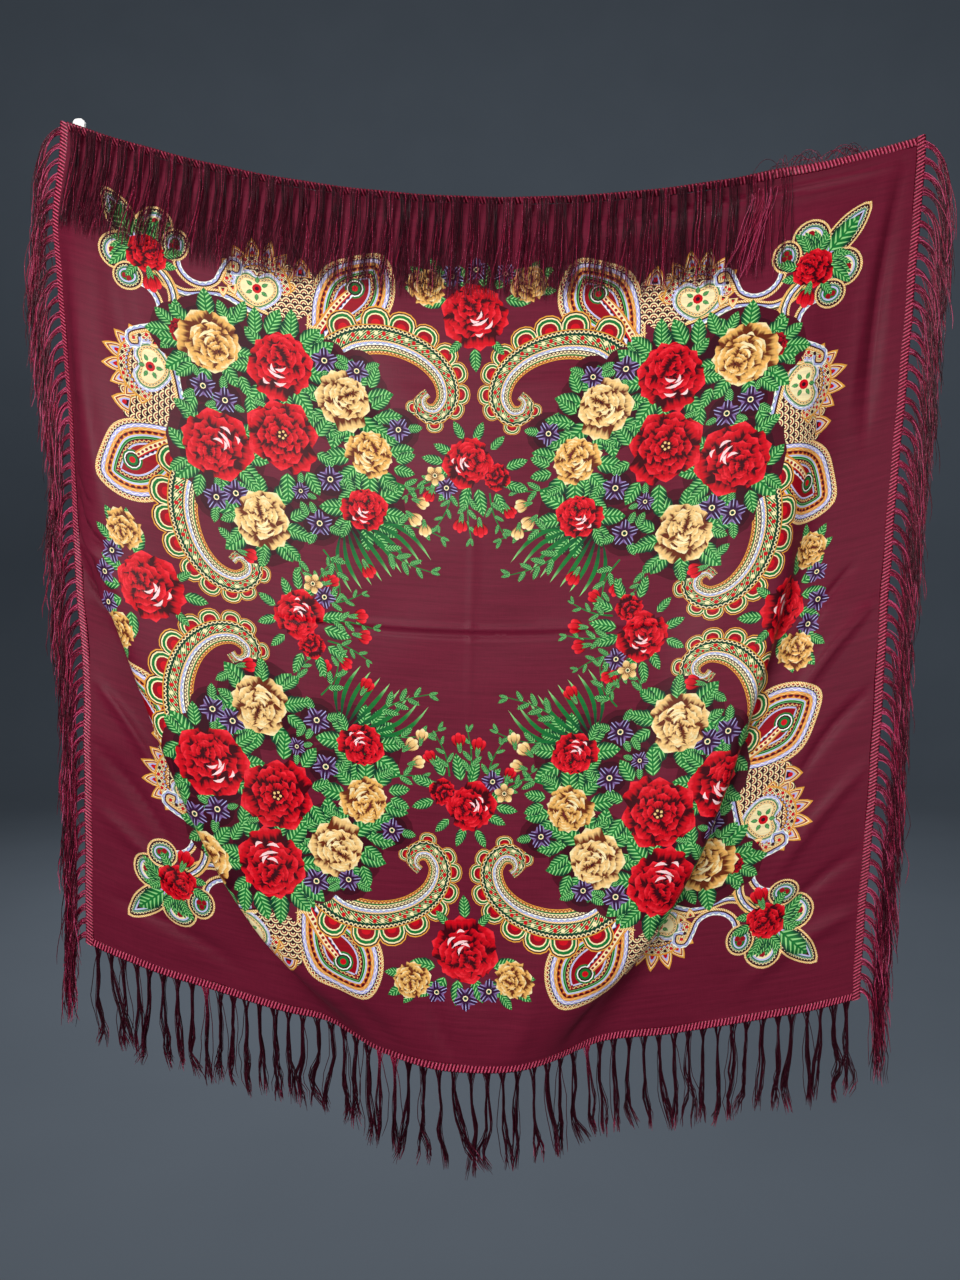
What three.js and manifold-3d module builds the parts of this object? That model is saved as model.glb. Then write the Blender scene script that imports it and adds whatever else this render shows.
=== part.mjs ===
// A square shawl with a gimp braid and fringe on all four sides, hung by its two top corners on wall hooks.
// Millimetres. +Z is up, +X is to the right seen from the front, and the wall is the plane y = 0 behind the
// shawl. The origin is on the wall, halfway between the two top corners.
// Places on the cloth are flat ones: across from its left edge, and down from its top edge.
import * as THREE from 'three';
import Module from 'manifold-3d';
import { mergeVertices } from 'three/addons/utils/BufferGeometryUtils.js';

const wasm = await Module();
wasm.setup();

// Cut sizes
const SIDE = 900;
const CLOTH_THICKNESS = 1.5;
const BRAID_WIDTH = 9;
const BRAID_THICKNESS = 2.4;
const SEAM_GAP = 0.5;
const FRINGE_LENGTH = 106;

// How it hangs
const CORNER_SPAN = 886;
const TOP_SAG = 69;
const CORNER_TILT = 17;
const MIDDLE_SHIFT = -8;
const MIDDLE_LEAN = -0.021;
const LEAN_START = 120;
const EDGE_SHORTENING = 0.012;
const EDGE_SHORTENING_WIDTH = 260;
const PUCKER_WIDTH = 120;
const CREST_FALL_ANGLE = THREE.MathUtils.degToRad(14);
const CREST_FALL_WIDTH = 60;
const CREST_FULL_ANGLE = 1.2;
const CREST_FALL_START = 0.9;

// How finely it is built
const CLOTH_CELLS = 36;
const ARC_STEPS = 400;
const RISER_STEPS = 40;
const FOOT_STEPS = 6;

// The belly's distance from the wall, by the depth down the cloth
const BELLY = [
  { down: 0, out: 20 },
  { down: 100, out: 34 },
  { down: 250, out: 48 },
  { down: 450, out: 56 },
  { down: 650, out: 58 },
  { down: 800, out: 54 },
  { down: 900, out: 49 },
];

// The two big folds, where the belly stands in front of a side strip. inset is the fold line's distance
// from the fold's own side edge, angle the steepest turn of the cloth in degrees, and half the half width
// of the turn.
const LEFT_FOLD = [
  { down: 0, inset: 24, angle: 0, half: 50 },
  { down: 60, inset: 24, angle: 10, half: 48 },
  { down: 150, inset: 25, angle: 26, half: 46 },
  { down: 300, inset: 27, angle: 43, half: 46 },
  { down: 431, inset: 40, angle: 54, half: 46 },
  { down: 549, inset: 90, angle: 88, half: 38 },
  { down: 613, inset: 118, angle: 102, half: 34 },
  { down: 678, inset: 149, angle: 105, half: 34 },
  { down: 750, inset: 190, angle: 104, half: 34 },
  { down: 806, inset: 234, angle: 90, half: 38 },
  { down: 850, inset: 284, angle: 64, half: 48 },
  { down: 900, inset: 350, angle: 34, half: 80 },
];
const RIGHT_FOLD = [
  { down: 0, inset: 40, angle: 0, half: 60 },
  { down: 120, inset: 66, angle: 12, half: 64 },
  { down: 300, inset: 104, angle: 34, half: 54 },
  { down: 399, inset: 116, angle: 52, half: 42 },
  { down: 463, inset: 130, angle: 72, half: 32 },
  { down: 558, inset: 156, angle: 82, half: 30 },
  { down: 661, inset: 188, angle: 86, half: 32 },
  { down: 710, inset: 208, angle: 88, half: 34 },
  { down: 780, inset: 248, angle: 84, half: 36 },
  { down: 831, inset: 290, angle: 60, half: 48 },
  { down: 900, inset: 350, angle: 32, half: 80 },
];

// Width that the tight braid takes out of each side margin
const PUCKER = [
  { down: 0, left: 0, right: 0 },
  { down: 150, left: 9, right: 6 },
  { down: 300, left: 17, right: 9 },
  { down: 450, left: 17, right: 9 },
  { down: 700, left: 11, right: 9 },
  { down: 900, left: 12, right: 12 },
];

// The top braid's roll towards the front in degrees, by the distance across. It lies back on the right.
const TOP_ROLL = [
  { across: 0, roll: 20 },
  { across: 60, roll: 60 },
  { across: 700, roll: 62 },
  { across: 780, roll: 4 },
  { across: 900, roll: -8 },
];
const FRONT_FRINGE_END = 770;

// Fringe locks, one row a side: how many, and the distance of the first and last from the ends of the side
const LOCKS = {
  top: { count: 50, end: 20 },
  bottom: { count: 54, end: 16 },
  left: { count: 56, end: 10 },
  right: { count: 56, end: 10 },
};
const LOCK_ROOT_DEPTH = 6;
const LOCK_ROOT_RADIUS = 1.0;
const LOCK_BEND_RADIUS = 1.3;
const LOCK_SIDES = 3;
// A lock on a side edge leaves the braid, arches over and hangs, leaning on the ones below it
const SIDE_LOCK = [
  { out: -LOCK_ROOT_DEPTH, drop: 0, radius: LOCK_ROOT_RADIUS },
  { out: 10, drop: 3, radius: 1.4 },
  { out: 19, drop: 26, radius: 1.7 },
  { out: 27, drop: 92, radius: 1.3 },
];
const HANGING_LOCK = [
  { out: -LOCK_ROOT_DEPTH, drop: 0, radius: LOCK_ROOT_RADIUS },
  { out: 0, drop: 50, radius: 2.1 },
  { out: 0, drop: FRINGE_LENGTH, radius: 1.6 },
];
// A top lock lies down the cloth: stations are flat distances from the braid
const TOP_LOCK = [
  { down: 14, radius: 1.5 },
  { down: 50, radius: 1.9 },
  { down: 94, radius: 1.5 },
];
const TOP_LOCK_STAND_OFF = 5.4;
const TOP_LOCK_RISE = 1.5;
const TOP_LOCK_LEAN = { forward: 1.5, back: 3.5 };

// The wall hooks: a flat plate on the wall, an arm and an upturned tip behind the corner of the cloth
const CORNER_INSET = 20;
const HOOK = {
  plateWidth: 22,
  plateHeight: 40,
  plateThickness: 3,
  plateLower: 4,
  armWidth: 12,
  armThickness: 4,
  armDrop: 30,
};
const HOOK_CLEARANCE = 14;
// down is where the tip meets the shawl's back, at the braid on the left and at the cloth on the right, and
// layer is the thickness of what it meets
const HOOK_TIPS = [
  { name: 'hook_left', across: CORNER_INSET, tipAboveEdge: 9, down: 8, layer: BRAID_THICKNESS },
  { name: 'hook_right', across: SIDE - CORNER_INSET, tipAboveEdge: -11, down: 11, layer: CLOTH_THICKNESS },
];

const DOWN = new THREE.Vector3(0, 0, -1);

const clothMaterial = new THREE.MeshStandardMaterial({ color: 0x4b1426, roughness: 0.55, metalness: 0 });
const fringeMaterial = new THREE.MeshStandardMaterial({ color: 0xa01c44, roughness: 0.4, metalness: 0 });
const hookMaterial = new THREE.MeshStandardMaterial({ color: 0xf2f2ee, roughness: 0.35, metalness: 0 });

const clamp = THREE.MathUtils.clamp;

// A smooth curve through a table's rows: the named column's value at a place
function column(table, key, place, name) {
  const last = table.length - 1;
  const at = clamp(place, table[0][key], table[last][key]);
  let i = 0;
  while (i < last - 1 && at > table[i + 1][key]) i += 1;
  const slope = (j) => {
    const before = table[Math.max(j - 1, 0)];
    const after = table[Math.min(j + 1, last)];
    return (after[name] - before[name]) / (after[key] - before[key]);
  };
  const a = table[i];
  const b = table[i + 1];
  const run = b[key] - a[key];
  const u = (at - a[key]) / run;
  const rise = u * u * (3 - 2 * u);
  const leave = u * (1 - u) * (1 - u) * run * slope(i);
  const arrive = u * u * (u - 1) * run * slope(i + 1);
  return a[name] * (1 - rise) + b[name] * rise + leave + arrive;
}

// The top edge: x and z by the flat distance across, on a sagging curve as long as the cloth is wide
function makeTopEdge() {
  const points = [];
  for (let i = 0; i <= ARC_STEPS; i += 1) {
    const u = (2 * i) / ARC_STEPS - 1;
    points.push({ x: (u * CORNER_SPAN) / 2, z: -CORNER_TILT * u - TOP_SAG * (1 - u * u), across: 0 });
  }
  for (let i = 1; i <= ARC_STEPS; i += 1) {
    const step = Math.hypot(points[i].x - points[i - 1].x, points[i].z - points[i - 1].z);
    points[i].across = points[i - 1].across + step;
  }
  const stretch = SIDE / points[ARC_STEPS].across;
  for (const point of points) point.across *= stretch;
  return points;
}
const topEdge = makeTopEdge();

function topEdgeAt(across) {
  const at = clamp(across, 0, SIDE);
  let i = Math.min(Math.floor((at / SIDE) * ARC_STEPS), ARC_STEPS - 1);
  while (i > 0 && topEdge[i].across > at) i -= 1;
  while (i < ARC_STEPS - 1 && topEdge[i + 1].across < at) i += 1;
  const a = topEdge[i];
  const b = topEdge[i + 1];
  const u = (at - a.across) / (b.across - a.across);
  return { x: a.x + (b.x - a.x) * u, z: a.z + (b.z - a.z) * u };
}

const softBump = (u) => Math.cos((Math.PI * clamp(u, -1, 1)) / 2) ** 2;

// The step forwards and the width lost between the strip and a distance past a fold line
function riser(distance, half, angle) {
  const start = -half;
  const end = clamp(distance, -half, half + 2 * CREST_FALL_WIDTH);
  const step = (end - start) / RISER_STEPS;
  const crestFall = CREST_FALL_ANGLE * Math.min(1, angle / CREST_FULL_ANGLE);
  let forward = 0;
  let lost = 0;
  for (let i = 0; i < RISER_STEPS; i += 1) {
    const at = start + step * (i + 0.5);
    const fall = crestFall * softBump((at - half) / CREST_FALL_WIDTH - CREST_FALL_START);
    const turn = angle * softBump(at / half) - fall;
    forward += Math.sin(turn) * step;
    lost += (1 - Math.cos(turn)) * step;
  }
  return { forward, lost };
}

// How far one fold moves a place of the cloth back, inwards and up. inset is measured from the fold's edge.
function foldShift(table, inset, down) {
  let foot = down;
  let lean = 0;
  let distance = 0;
  const measure = () => {
    const reach = 4;
    const low = clamp(foot - reach, 0, SIDE);
    const high = clamp(foot + reach, 0, SIDE);
    const rise = column(table, 'down', high, 'inset') - column(table, 'down', low, 'inset');
    lean = Math.atan(rise / (high - low));
    const line = column(table, 'down', foot, 'inset');
    distance = (inset - line) * Math.cos(lean) - (down - foot) * Math.sin(lean);
  };
  for (let i = 0; i < FOOT_STEPS; i += 1) {
    measure();
    foot = clamp(0.5 * foot + 0.5 * (down + distance * Math.sin(lean)), 0, SIDE);
  }
  measure();
  const angle = THREE.MathUtils.degToRad(Math.max(column(table, 'down', foot, 'angle'), 0));
  const half = column(table, 'down', foot, 'half');
  const here = riser(distance, half, angle);
  const whole = riser(Infinity, half, angle);
  const lost = whole.lost - here.lost;
  return {
    back: whole.forward - here.forward,
    inwards: lost * Math.cos(lean),
    up: lost * Math.sin(lean),
  };
}

// Where a flat place of the cloth hangs
function clothPoint(across, down) {
  const edge = topEdgeAt(across);
  const at = clamp(down, 0, SIDE);
  const u = clamp(at / LEAN_START, 0, 1);
  const settled = u * u * (3 - 2 * u);
  const plumb = MIDDLE_SHIFT + MIDDLE_LEAN * at + across - SIDE / 2;
  const left = foldShift(LEFT_FOLD, across, at);
  const right = foldShift(RIGHT_FOLD, SIDE - across, at);
  const nearLeft = clamp(1 - across / PUCKER_WIDTH, 0, 1) ** 2;
  const nearRight = clamp(1 - (SIDE - across) / PUCKER_WIDTH, 0, 1) ** 2;
  const puckerLeft = column(PUCKER, 'down', at, 'left') * nearLeft;
  const puckerRight = column(PUCKER, 'down', at, 'right') * nearRight;
  const shortened = EDGE_SHORTENING * at * clamp(1 - across / EDGE_SHORTENING_WIDTH, 0, 1) ** 2;
  return new THREE.Vector3(
    edge.x * (1 - settled) + plumb * settled + left.inwards - right.inwards + puckerLeft - puckerRight,
    -(column(BELLY, 'down', at, 'out') - left.back - right.back),
    edge.z - down + left.up + right.up + shortened,
  );
}

// The cloth's directions at a flat place: along, downwards, and out of its face towards the room
function clothDirections(across, down) {
  const reach = 3;
  const a = clamp(across, reach, SIDE - reach);
  const d = clamp(down, reach, SIDE - reach);
  const along = clothPoint(a + reach, d).sub(clothPoint(a - reach, d)).normalize();
  const downwards = clothPoint(a, d + reach).sub(clothPoint(a, d - reach)).normalize();
  const face = new THREE.Vector3().crossVectors(downwards, along).normalize().negate();
  return { along, downwards, face: face.y > 0 ? face.negate() : face };
}

// A closed wall from two grids of points with the same rows and columns, the front one facing the room.
// Cells are cut along the folds, which run down to the middle from both sides.
function wallGeometry(front, back) {
  const rows = front.length;
  const columns = front[0].length;
  const positions = [];
  for (const grid of [front, back]) {
    for (const row of grid) {
      for (const point of row) positions.push(point.x, point.y, point.z);
    }
  }
  const f = (r, c) => r * columns + c;
  const b = (r, c) => rows * columns + r * columns + c;
  const index = [];
  const quad = (p, q, r, s) => index.push(p, q, r, p, r, s);
  for (let r = 0; r < rows - 1; r += 1) {
    for (let c = 0; c < columns - 1; c += 1) {
      const frontCell = [f(r, c), f(r + 1, c), f(r + 1, c + 1), f(r, c + 1)];
      const backCell = [b(r, c), b(r, c + 1), b(r + 1, c + 1), b(r + 1, c)];
      if (c >= columns / 2) {
        frontCell.push(frontCell.shift());
        backCell.push(backCell.shift());
      }
      quad(...frontCell);
      quad(...backCell);
    }
  }
  for (let c = 0; c < columns - 1; c += 1) {
    quad(f(0, c), f(0, c + 1), b(0, c + 1), b(0, c));
    quad(f(rows - 1, c), b(rows - 1, c), b(rows - 1, c + 1), f(rows - 1, c + 1));
  }
  for (let r = 0; r < rows - 1; r += 1) {
    quad(f(r, 0), b(r, 0), b(r + 1, 0), f(r + 1, 0));
    quad(f(r, columns - 1), f(r + 1, columns - 1), b(r + 1, columns - 1), b(r, columns - 1));
  }
  const geometry = new THREE.BufferGeometry();
  geometry.setAttribute('position', new THREE.Float32BufferAttribute(positions, 3));
  geometry.setIndex(index);
  return geometry;
}

// A closed strand through points, with a few flat sides and its own radius at each point. OBLIQUE keeps the
// first sideways direction off the strand's own.
const OBLIQUE = 0.3;
function strandGeometry(points, radii) {
  const positions = [];
  const index = [];
  const sideways = new THREE.Vector3();
  points.forEach((point, i) => {
    const ahead = points[Math.min(i + 1, points.length - 1)];
    const behind = points[Math.max(i - 1, 0)];
    const run = ahead.clone().sub(behind).normalize();
    if (i === 0) sideways.set(run.z, run.x, OBLIQUE - run.y);
    sideways.addScaledVector(run, -sideways.dot(run)).normalize();
    const other = new THREE.Vector3().crossVectors(run, sideways);
    for (let k = 0; k < LOCK_SIDES; k += 1) {
      const turn = (2 * Math.PI * k) / LOCK_SIDES;
      const rim = point.clone();
      rim.addScaledVector(sideways, radii[i] * Math.cos(turn));
      rim.addScaledVector(other, radii[i] * Math.sin(turn));
      positions.push(rim.x, rim.y, rim.z);
    }
  });
  for (let i = 0; i < points.length - 1; i += 1) {
    for (let k = 0; k < LOCK_SIDES; k += 1) {
      const a = i * LOCK_SIDES + k;
      const b = i * LOCK_SIDES + ((k + 1) % LOCK_SIDES);
      index.push(a, b, b + LOCK_SIDES, a, b + LOCK_SIDES, a + LOCK_SIDES);
    }
  }
  const end = (points.length - 1) * LOCK_SIDES;
  for (let k = 1; k < LOCK_SIDES - 1; k += 1) {
    index.push(0, k + 1, k, end, end + k, end + k + 1);
  }
  const geometry = new THREE.BufferGeometry();
  geometry.setAttribute('position', new THREE.Float32BufferAttribute(positions, 3));
  geometry.setIndex(index);
  return geometry;
}

function toManifold(geometry) {
  const bare = geometry.clone();
  bare.deleteAttribute('normal');
  bare.deleteAttribute('uv');
  const merged = mergeVertices(bare, 1e-4);
  return new wasm.Manifold(new wasm.Mesh({
    numProp: 3,
    vertProperties: new Float32Array(merged.attributes.position.array),
    triVerts: new Uint32Array(merged.index.array),
  }));
}

function joined(geometries) {
  const whole = geometries.map(toManifold).reduce((sum, piece) => sum.add(piece));
  const mesh = whole.getMesh();
  const geometry = new THREE.BufferGeometry();
  geometry.setAttribute('position', new THREE.Float32BufferAttribute(mesh.vertProperties, 3));
  geometry.setIndex(Array.from(mesh.triVerts));
  return geometry;
}

function node(name, geometry, material) {
  const mesh = new THREE.Mesh(geometry, material);
  mesh.name = name;
  return mesh;
}

// The flat places of the cloth's grid lines, which the braids share
const CLOTH_EDGE = BRAID_WIDTH + SEAM_GAP;
const CLOTH_PLACES = Array.from(
  { length: CLOTH_CELLS + 1 },
  (_, i) => CLOTH_EDGE + ((SIDE - 2 * CLOTH_EDGE) * i) / CLOTH_CELLS,
);

// The printed square, inside the braid
function clothGeometry() {
  const front = [];
  const back = [];
  for (const down of CLOTH_PLACES) {
    const frontRow = [];
    const backRow = [];
    for (const across of CLOTH_PLACES) {
      const point = clothPoint(across, down);
      const { face } = clothDirections(across, down);
      frontRow.push(point.clone().addScaledVector(face, CLOTH_THICKNESS / 2));
      backRow.push(point.clone().addScaledVector(face, -CLOTH_THICKNESS / 2));
    }
    front.push(frontRow);
    back.push(backRow);
  }
  return wallGeometry(front, back);
}

// The frame of one side's braid at a distance along it: its seam with the cloth, outwards, and its face
function frameAt(side, along) {
  const [across, down] = {
    top: [along, BRAID_WIDTH],
    bottom: [along, SIDE - BRAID_WIDTH],
    left: [BRAID_WIDTH, along],
    right: [SIDE - BRAID_WIDTH, along],
  }[side];
  const directions = clothDirections(across, down);
  const outwards = {
    top: directions.downwards.clone().negate(),
    bottom: directions.downwards.clone(),
    left: directions.along.clone().negate(),
    right: directions.along.clone(),
  }[side];
  const frame = { along, seam: clothPoint(across, down), outwards, face: directions.face.clone() };
  if (side === 'top') rollForward(frame, directions.along);
  return frame;
}

// The top braid rolls about its seam, so that its fringe falls over the face of the cloth
function rollForward(frame, axis) {
  const roll = THREE.MathUtils.degToRad(column(TOP_ROLL, 'across', frame.along, 'roll'));
  frame.seam.addScaledVector(frame.outwards, (BRAID_THICKNESS / 2) * Math.abs(Math.sin(roll)));
  frame.outwards.applyAxisAngle(axis, roll);
  frame.face.applyAxisAngle(axis, roll);
}

// The side braids run to the shawl's corners, and the top and bottom ones stop between them
function braidGeometry(side) {
  const front = [[], []];
  const back = [[], []];
  const runsToCorners = side === 'left' || side === 'right';
  const places = runsToCorners ? [0, ...CLOTH_PLACES, SIDE] : CLOTH_PLACES;
  for (const along of places) {
    const frame = frameAt(side, along);
    [0, BRAID_WIDTH].forEach((out, row) => {
      const point = frame.seam.clone().addScaledVector(frame.outwards, out);
      front[row].push(point.clone().addScaledVector(frame.face, BRAID_THICKNESS / 2));
      back[row].push(point.clone().addScaledVector(frame.face, -BRAID_THICKNESS / 2));
    });
  }
  const facesOut = side === 'bottom' || side === 'left';
  return facesOut ? wallGeometry(front, back) : wallGeometry(back, front);
}

function lockPlaces(side) {
  const { count, end } = LOCKS[side];
  return Array.from({ length: count }, (_, i) => end + ((SIDE - 2 * end) * i) / (count - 1));
}

// A lock that hangs free of the cloth, leaving the braid outwards and then dropping plumb
function freeLock(side, along, stations) {
  const frame = frameAt(side, along);
  const brink = frame.seam.clone().addScaledVector(frame.outwards, BRAID_WIDTH);
  const sideways = side === 'left' ? -1 : 1;
  const points = stations.map(({ out, drop }) => {
    if (out < 0) return brink.clone().addScaledVector(frame.outwards, out);
    const point = brink.clone().addScaledVector(DOWN, drop);
    if (side === 'bottom') return point;
    point.x += sideways * out;
    return point;
  });
  return strandGeometry(points, stations.map(({ radius }) => radius));
}

// A lock of the top fringe, lying down the cloth's face, or down its back right of the roll
function topLock(along) {
  const frame = frameAt('top', along);
  const inFront = along < FRONT_FRINGE_END;
  const stand = inFront ? TOP_LOCK_STAND_OFF : -TOP_LOCK_STAND_OFF;
  const points = [
    frame.seam.clone().addScaledVector(frame.outwards, BRAID_WIDTH - LOCK_ROOT_DEPTH),
    frame.seam.clone().addScaledVector(frame.outwards, BRAID_WIDTH + TOP_LOCK_RISE),
  ];
  points[1].y += inFront ? -TOP_LOCK_LEAN.forward : TOP_LOCK_LEAN.back;
  for (const { down } of TOP_LOCK) {
    const { face } = clothDirections(along, BRAID_WIDTH + down);
    points.push(clothPoint(along, BRAID_WIDTH + down).addScaledVector(face, stand));
  }
  const radii = [LOCK_ROOT_RADIUS, LOCK_BEND_RADIUS, ...TOP_LOCK.map(({ radius }) => radius)];
  return strandGeometry(points, radii);
}

function fringeGeometry(side) {
  const pieces = [braidGeometry(side)];
  for (const along of lockPlaces(side)) {
    const nearHook = SIDE - along < CORNER_INSET + HOOK_CLEARANCE;
    if (side !== 'top') pieces.push(freeLock(side, along, side === 'bottom' ? HANGING_LOCK : SIDE_LOCK));
    else if (!nearHook) pieces.push(topLock(along));
  }
  return joined(pieces);
}

function plateShape(width, height) {
  const round = width * 0.4;
  const shape = new THREE.Shape();
  shape.moveTo(-width / 2, -height);
  shape.lineTo(width / 2, -height);
  shape.lineTo(width / 2, -round);
  shape.absarc(width / 2 - round, -round, round, 0, Math.PI / 2);
  shape.absarc(-width / 2 + round, -round, round, Math.PI / 2, Math.PI);
  shape.lineTo(-width / 2, -height);
  return shape;
}

// A plain wall hook. top is the height of its upturned tip, and cloth the distance of the cloth's back.
function hookGeometry(x, top, cloth) {
  const upright = (width, height, thickness, back, topAt) => {
    const settings = { depth: thickness, bevelEnabled: false, curveSegments: 5 };
    const geometry = new THREE.ExtrudeGeometry(plateShape(width, height), settings);
    return geometry.rotateX(Math.PI / 2).translate(x, -back, topAt);
  };
  const tipFront = cloth - SEAM_GAP;
  const plateTop = top - HOOK.plateLower;
  const plate = upright(HOOK.plateWidth, HOOK.plateHeight, HOOK.plateThickness, 0, plateTop);
  const tip = upright(HOOK.armWidth, HOOK.armDrop, HOOK.armThickness, tipFront - HOOK.armThickness, top);
  const arm = new THREE.BoxGeometry(HOOK.armWidth, tipFront - 1, HOOK.armThickness);
  arm.translate(x, -(tipFront + 1) / 2, top - HOOK.armDrop + HOOK.armThickness / 2);
  return joined([plate, tip, arm]);
}

const shawl = new THREE.Group();
shawl.add(node('shawl_cloth', clothGeometry(), clothMaterial));
for (const side of ['top', 'bottom', 'left', 'right']) {
  shawl.add(node(`fringe_${side}`, fringeGeometry(side), fringeMaterial));
}
for (const { name, across, tipAboveEdge, down, layer } of HOOK_TIPS) {
  const edge = clothPoint(across, 0);
  const behind = -clothPoint(across, down).y - layer / 2;
  shawl.add(node(name, hookGeometry(edge.x, edge.z + tipAboveEdge, behind), hookMaterial));
}

export default shawl;
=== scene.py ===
# A printed square shawl with gimp braid and fringe on four sides, hung by its top corners on two wall hooks.
# Lengths are millimetres until a mesh is made, which is in metres. A flat place on the cloth is measured
# across and down from its top left corner as the camera sees it. The print is drawn at across + 1j * down.
import math
from collections import namedtuple

import bpy
import numpy as np
from mathutils import Matrix, Vector, kdtree
from mathutils.geometry import delaunay_2d_cdt


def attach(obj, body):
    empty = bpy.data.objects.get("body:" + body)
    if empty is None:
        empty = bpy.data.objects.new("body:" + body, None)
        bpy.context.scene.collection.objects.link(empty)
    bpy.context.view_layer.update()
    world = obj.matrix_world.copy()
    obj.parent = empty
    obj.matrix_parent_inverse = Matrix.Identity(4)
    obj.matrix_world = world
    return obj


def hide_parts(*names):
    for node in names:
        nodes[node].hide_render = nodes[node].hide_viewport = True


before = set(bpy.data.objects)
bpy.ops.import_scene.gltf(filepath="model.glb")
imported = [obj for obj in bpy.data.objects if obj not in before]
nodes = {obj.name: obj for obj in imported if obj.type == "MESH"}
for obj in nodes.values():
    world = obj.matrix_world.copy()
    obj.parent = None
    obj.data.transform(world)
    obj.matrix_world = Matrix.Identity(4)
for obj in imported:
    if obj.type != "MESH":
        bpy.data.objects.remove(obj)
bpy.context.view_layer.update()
rng = np.random.default_rng(27)
MM = 0.001

# Cut sizes, as in the part
SIDE = 900.0
BRAID_WIDTH = 9.0
BRAID_THICKNESS = 2.4
CLOTH_GAP = 0.6
CLOTH_EDGE = 8.6
CORNER_SPAN = 886.0
TOP_SAG = 69.0
CORNER_TILT = 17.0
MIDDLE_SHIFT = -8.0
MIDDLE_LEAN = -0.021
LEAN_START = 120.0
EDGE_SHORTENING = 0.012
EDGE_SHORTENING_WIDTH = 260.0
PUCKER_WIDTH = 120.0
CREST_FALL_ANGLE = math.radians(14)
CREST_FALL_WIDTH = 60.0
CREST_FULL_ANGLE = 1.2
CREST_FALL_START = 0.9
RISER_STEPS = 40
FOOT_STEPS = 6
FRONT_FRINGE_END = 770.0

BELLY = {
    "down": [0, 100, 250, 450, 650, 800, 900],
    "out": [20, 34, 48, 56, 58, 54, 49],
}
LEFT_FOLD = {
    "down": [0, 60, 150, 300, 431, 549, 613, 678, 750, 806, 850, 900],
    "inset": [24, 24, 25, 27, 40, 90, 118, 149, 190, 234, 284, 350],
    "angle": [0, 10, 26, 43, 54, 88, 102, 105, 104, 90, 64, 34],
    "half": [50, 48, 46, 46, 46, 38, 34, 34, 34, 38, 48, 80],
}
RIGHT_FOLD = {
    "down": [0, 120, 300, 399, 463, 558, 661, 710, 780, 831, 900],
    "inset": [40, 66, 104, 116, 130, 156, 188, 208, 248, 290, 350],
    "angle": [0, 12, 34, 52, 72, 82, 86, 88, 84, 60, 32],
    "half": [60, 64, 54, 42, 32, 30, 32, 34, 36, 48, 80],
}
PUCKER = {
    "down": [0, 150, 300, 450, 700, 900],
    "left": [0, 9, 17, 17, 11, 12],
    "right": [0, 6, 9, 9, 9, 12],
}
TOP_ROLL = {"down": [0, 60, 700, 780, 900], "roll": [20, 60, 62, 4, -8]}

CREASE_DEPTH = 2.2
# Small creases as start, end, half width, rise out of the face and bow. A negative rise is a trough.
CREASES = [
    (250 + 452j, 660 + 446j, 2.2, -0.9, 0),
    (250 + 447j, 660 + 441j, 3.0, 0.6, 0),
    (452 + 300j, 450 + 640j, 2.2, 0.6, 0),
    (14 + 392j, 84 + 424j, 4, -2.6, 4),
    (14 + 404j, 74 + 440j, 5, 2.2, 4),
    (14 + 432j, 92 + 470j, 4, -2.4, 5),
    (14 + 446j, 88 + 488j, 6, 2.4, 5),
    (16 + 366j, 60 + 384j, 4, -1.6, 3),
    (15 + 476j, 60 + 520j, 4, -1.8, 3),
    (20 + 60j, 90 + 420j, 13, 1.8, 14),
    (60 + 40j, 150 + 330j, 16, -1.8, 18),
    (560 + 26j, 880 + 22j, 6, -1.8, -6),
    (560 + 38j, 872 + 36j, 8, 1.8, -8),
    (878 + 24j, 858 + 300j, 7, -2.6, 6),
    (866 + 30j, 838 + 280j, 9, 1.8, 8),
    (800 + 70j, 786 + 420j, 16, -1.4, -12),
    (862 + 420j, 790 + 520j, 6, -2.0, 6),
    (884 + 470j, 800 + 560j, 7, 2.2, 7),
    (886 + 560j, 812 + 640j, 7, -2.2, 8),
    (884 + 640j, 796 + 740j, 8, 2.0, 8),
    (886 + 730j, 800 + 800j, 8, -2.0, 8),
    (884 + 800j, 760 + 858j, 9, 2.2, 8),
    (20 + 600j, 96 + 690j, 7, 2.0, -8),
    (18 + 670j, 110 + 760j, 8, -2.2, -8),
    (18 + 740j, 140 + 820j, 9, 2.2, -8),
    (30 + 830j, 190 + 868j, 8, -2.0, -8),
    (300 + 800j, 380 + 880j, 12, -2.4, 6),
    (420 + 820j, 440 + 886j, 9, -1.8, 4),
    (520 + 800j, 500 + 884j, 12, 1.8, -4),
    (600 + 820j, 560 + 884j, 9, -1.8, -4),
    (120 + 700j, 230 + 850j, 10, -1.4, -6),
    (700 + 420j, 640 + 700j, 22, 1.6, 12),
    (250 + 470j, 330 + 760j, 24, 1.6, -12),
    (300 + 120j, 420 + 330j, 26, -1.4, 10),
    (620 + 110j, 520 + 320j, 26, -1.2, -10),
]


def column(table, name, at):
    """A smooth curve through a table's rows: the named column's value at a place down, or along."""
    keys = np.array(table["down"], float)
    values = np.array(table[name], float)
    order = np.arange(len(keys))
    after = np.minimum(order + 1, len(keys) - 1)
    before = np.maximum(order - 1, 0)
    slope = (values[after] - values[before]) / (keys[after] - keys[before])
    at = np.clip(at, keys[0], keys[-1])
    i = np.clip(np.searchsorted(keys, at) - 1, 0, len(keys) - 2)
    run = keys[i + 1] - keys[i]
    u = (at - keys[i]) / run
    rise = u * u * (3 - 2 * u)
    bend = u * (1 - u) * (1 - u) * slope[i] + u * u * (u - 1) * slope[i + 1]
    return values[i] * (1 - rise) + values[i + 1] * rise + run * bend


def soft_bump(u):
    return np.cos(np.pi * np.clip(u, -1, 1) / 2) ** 2


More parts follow.
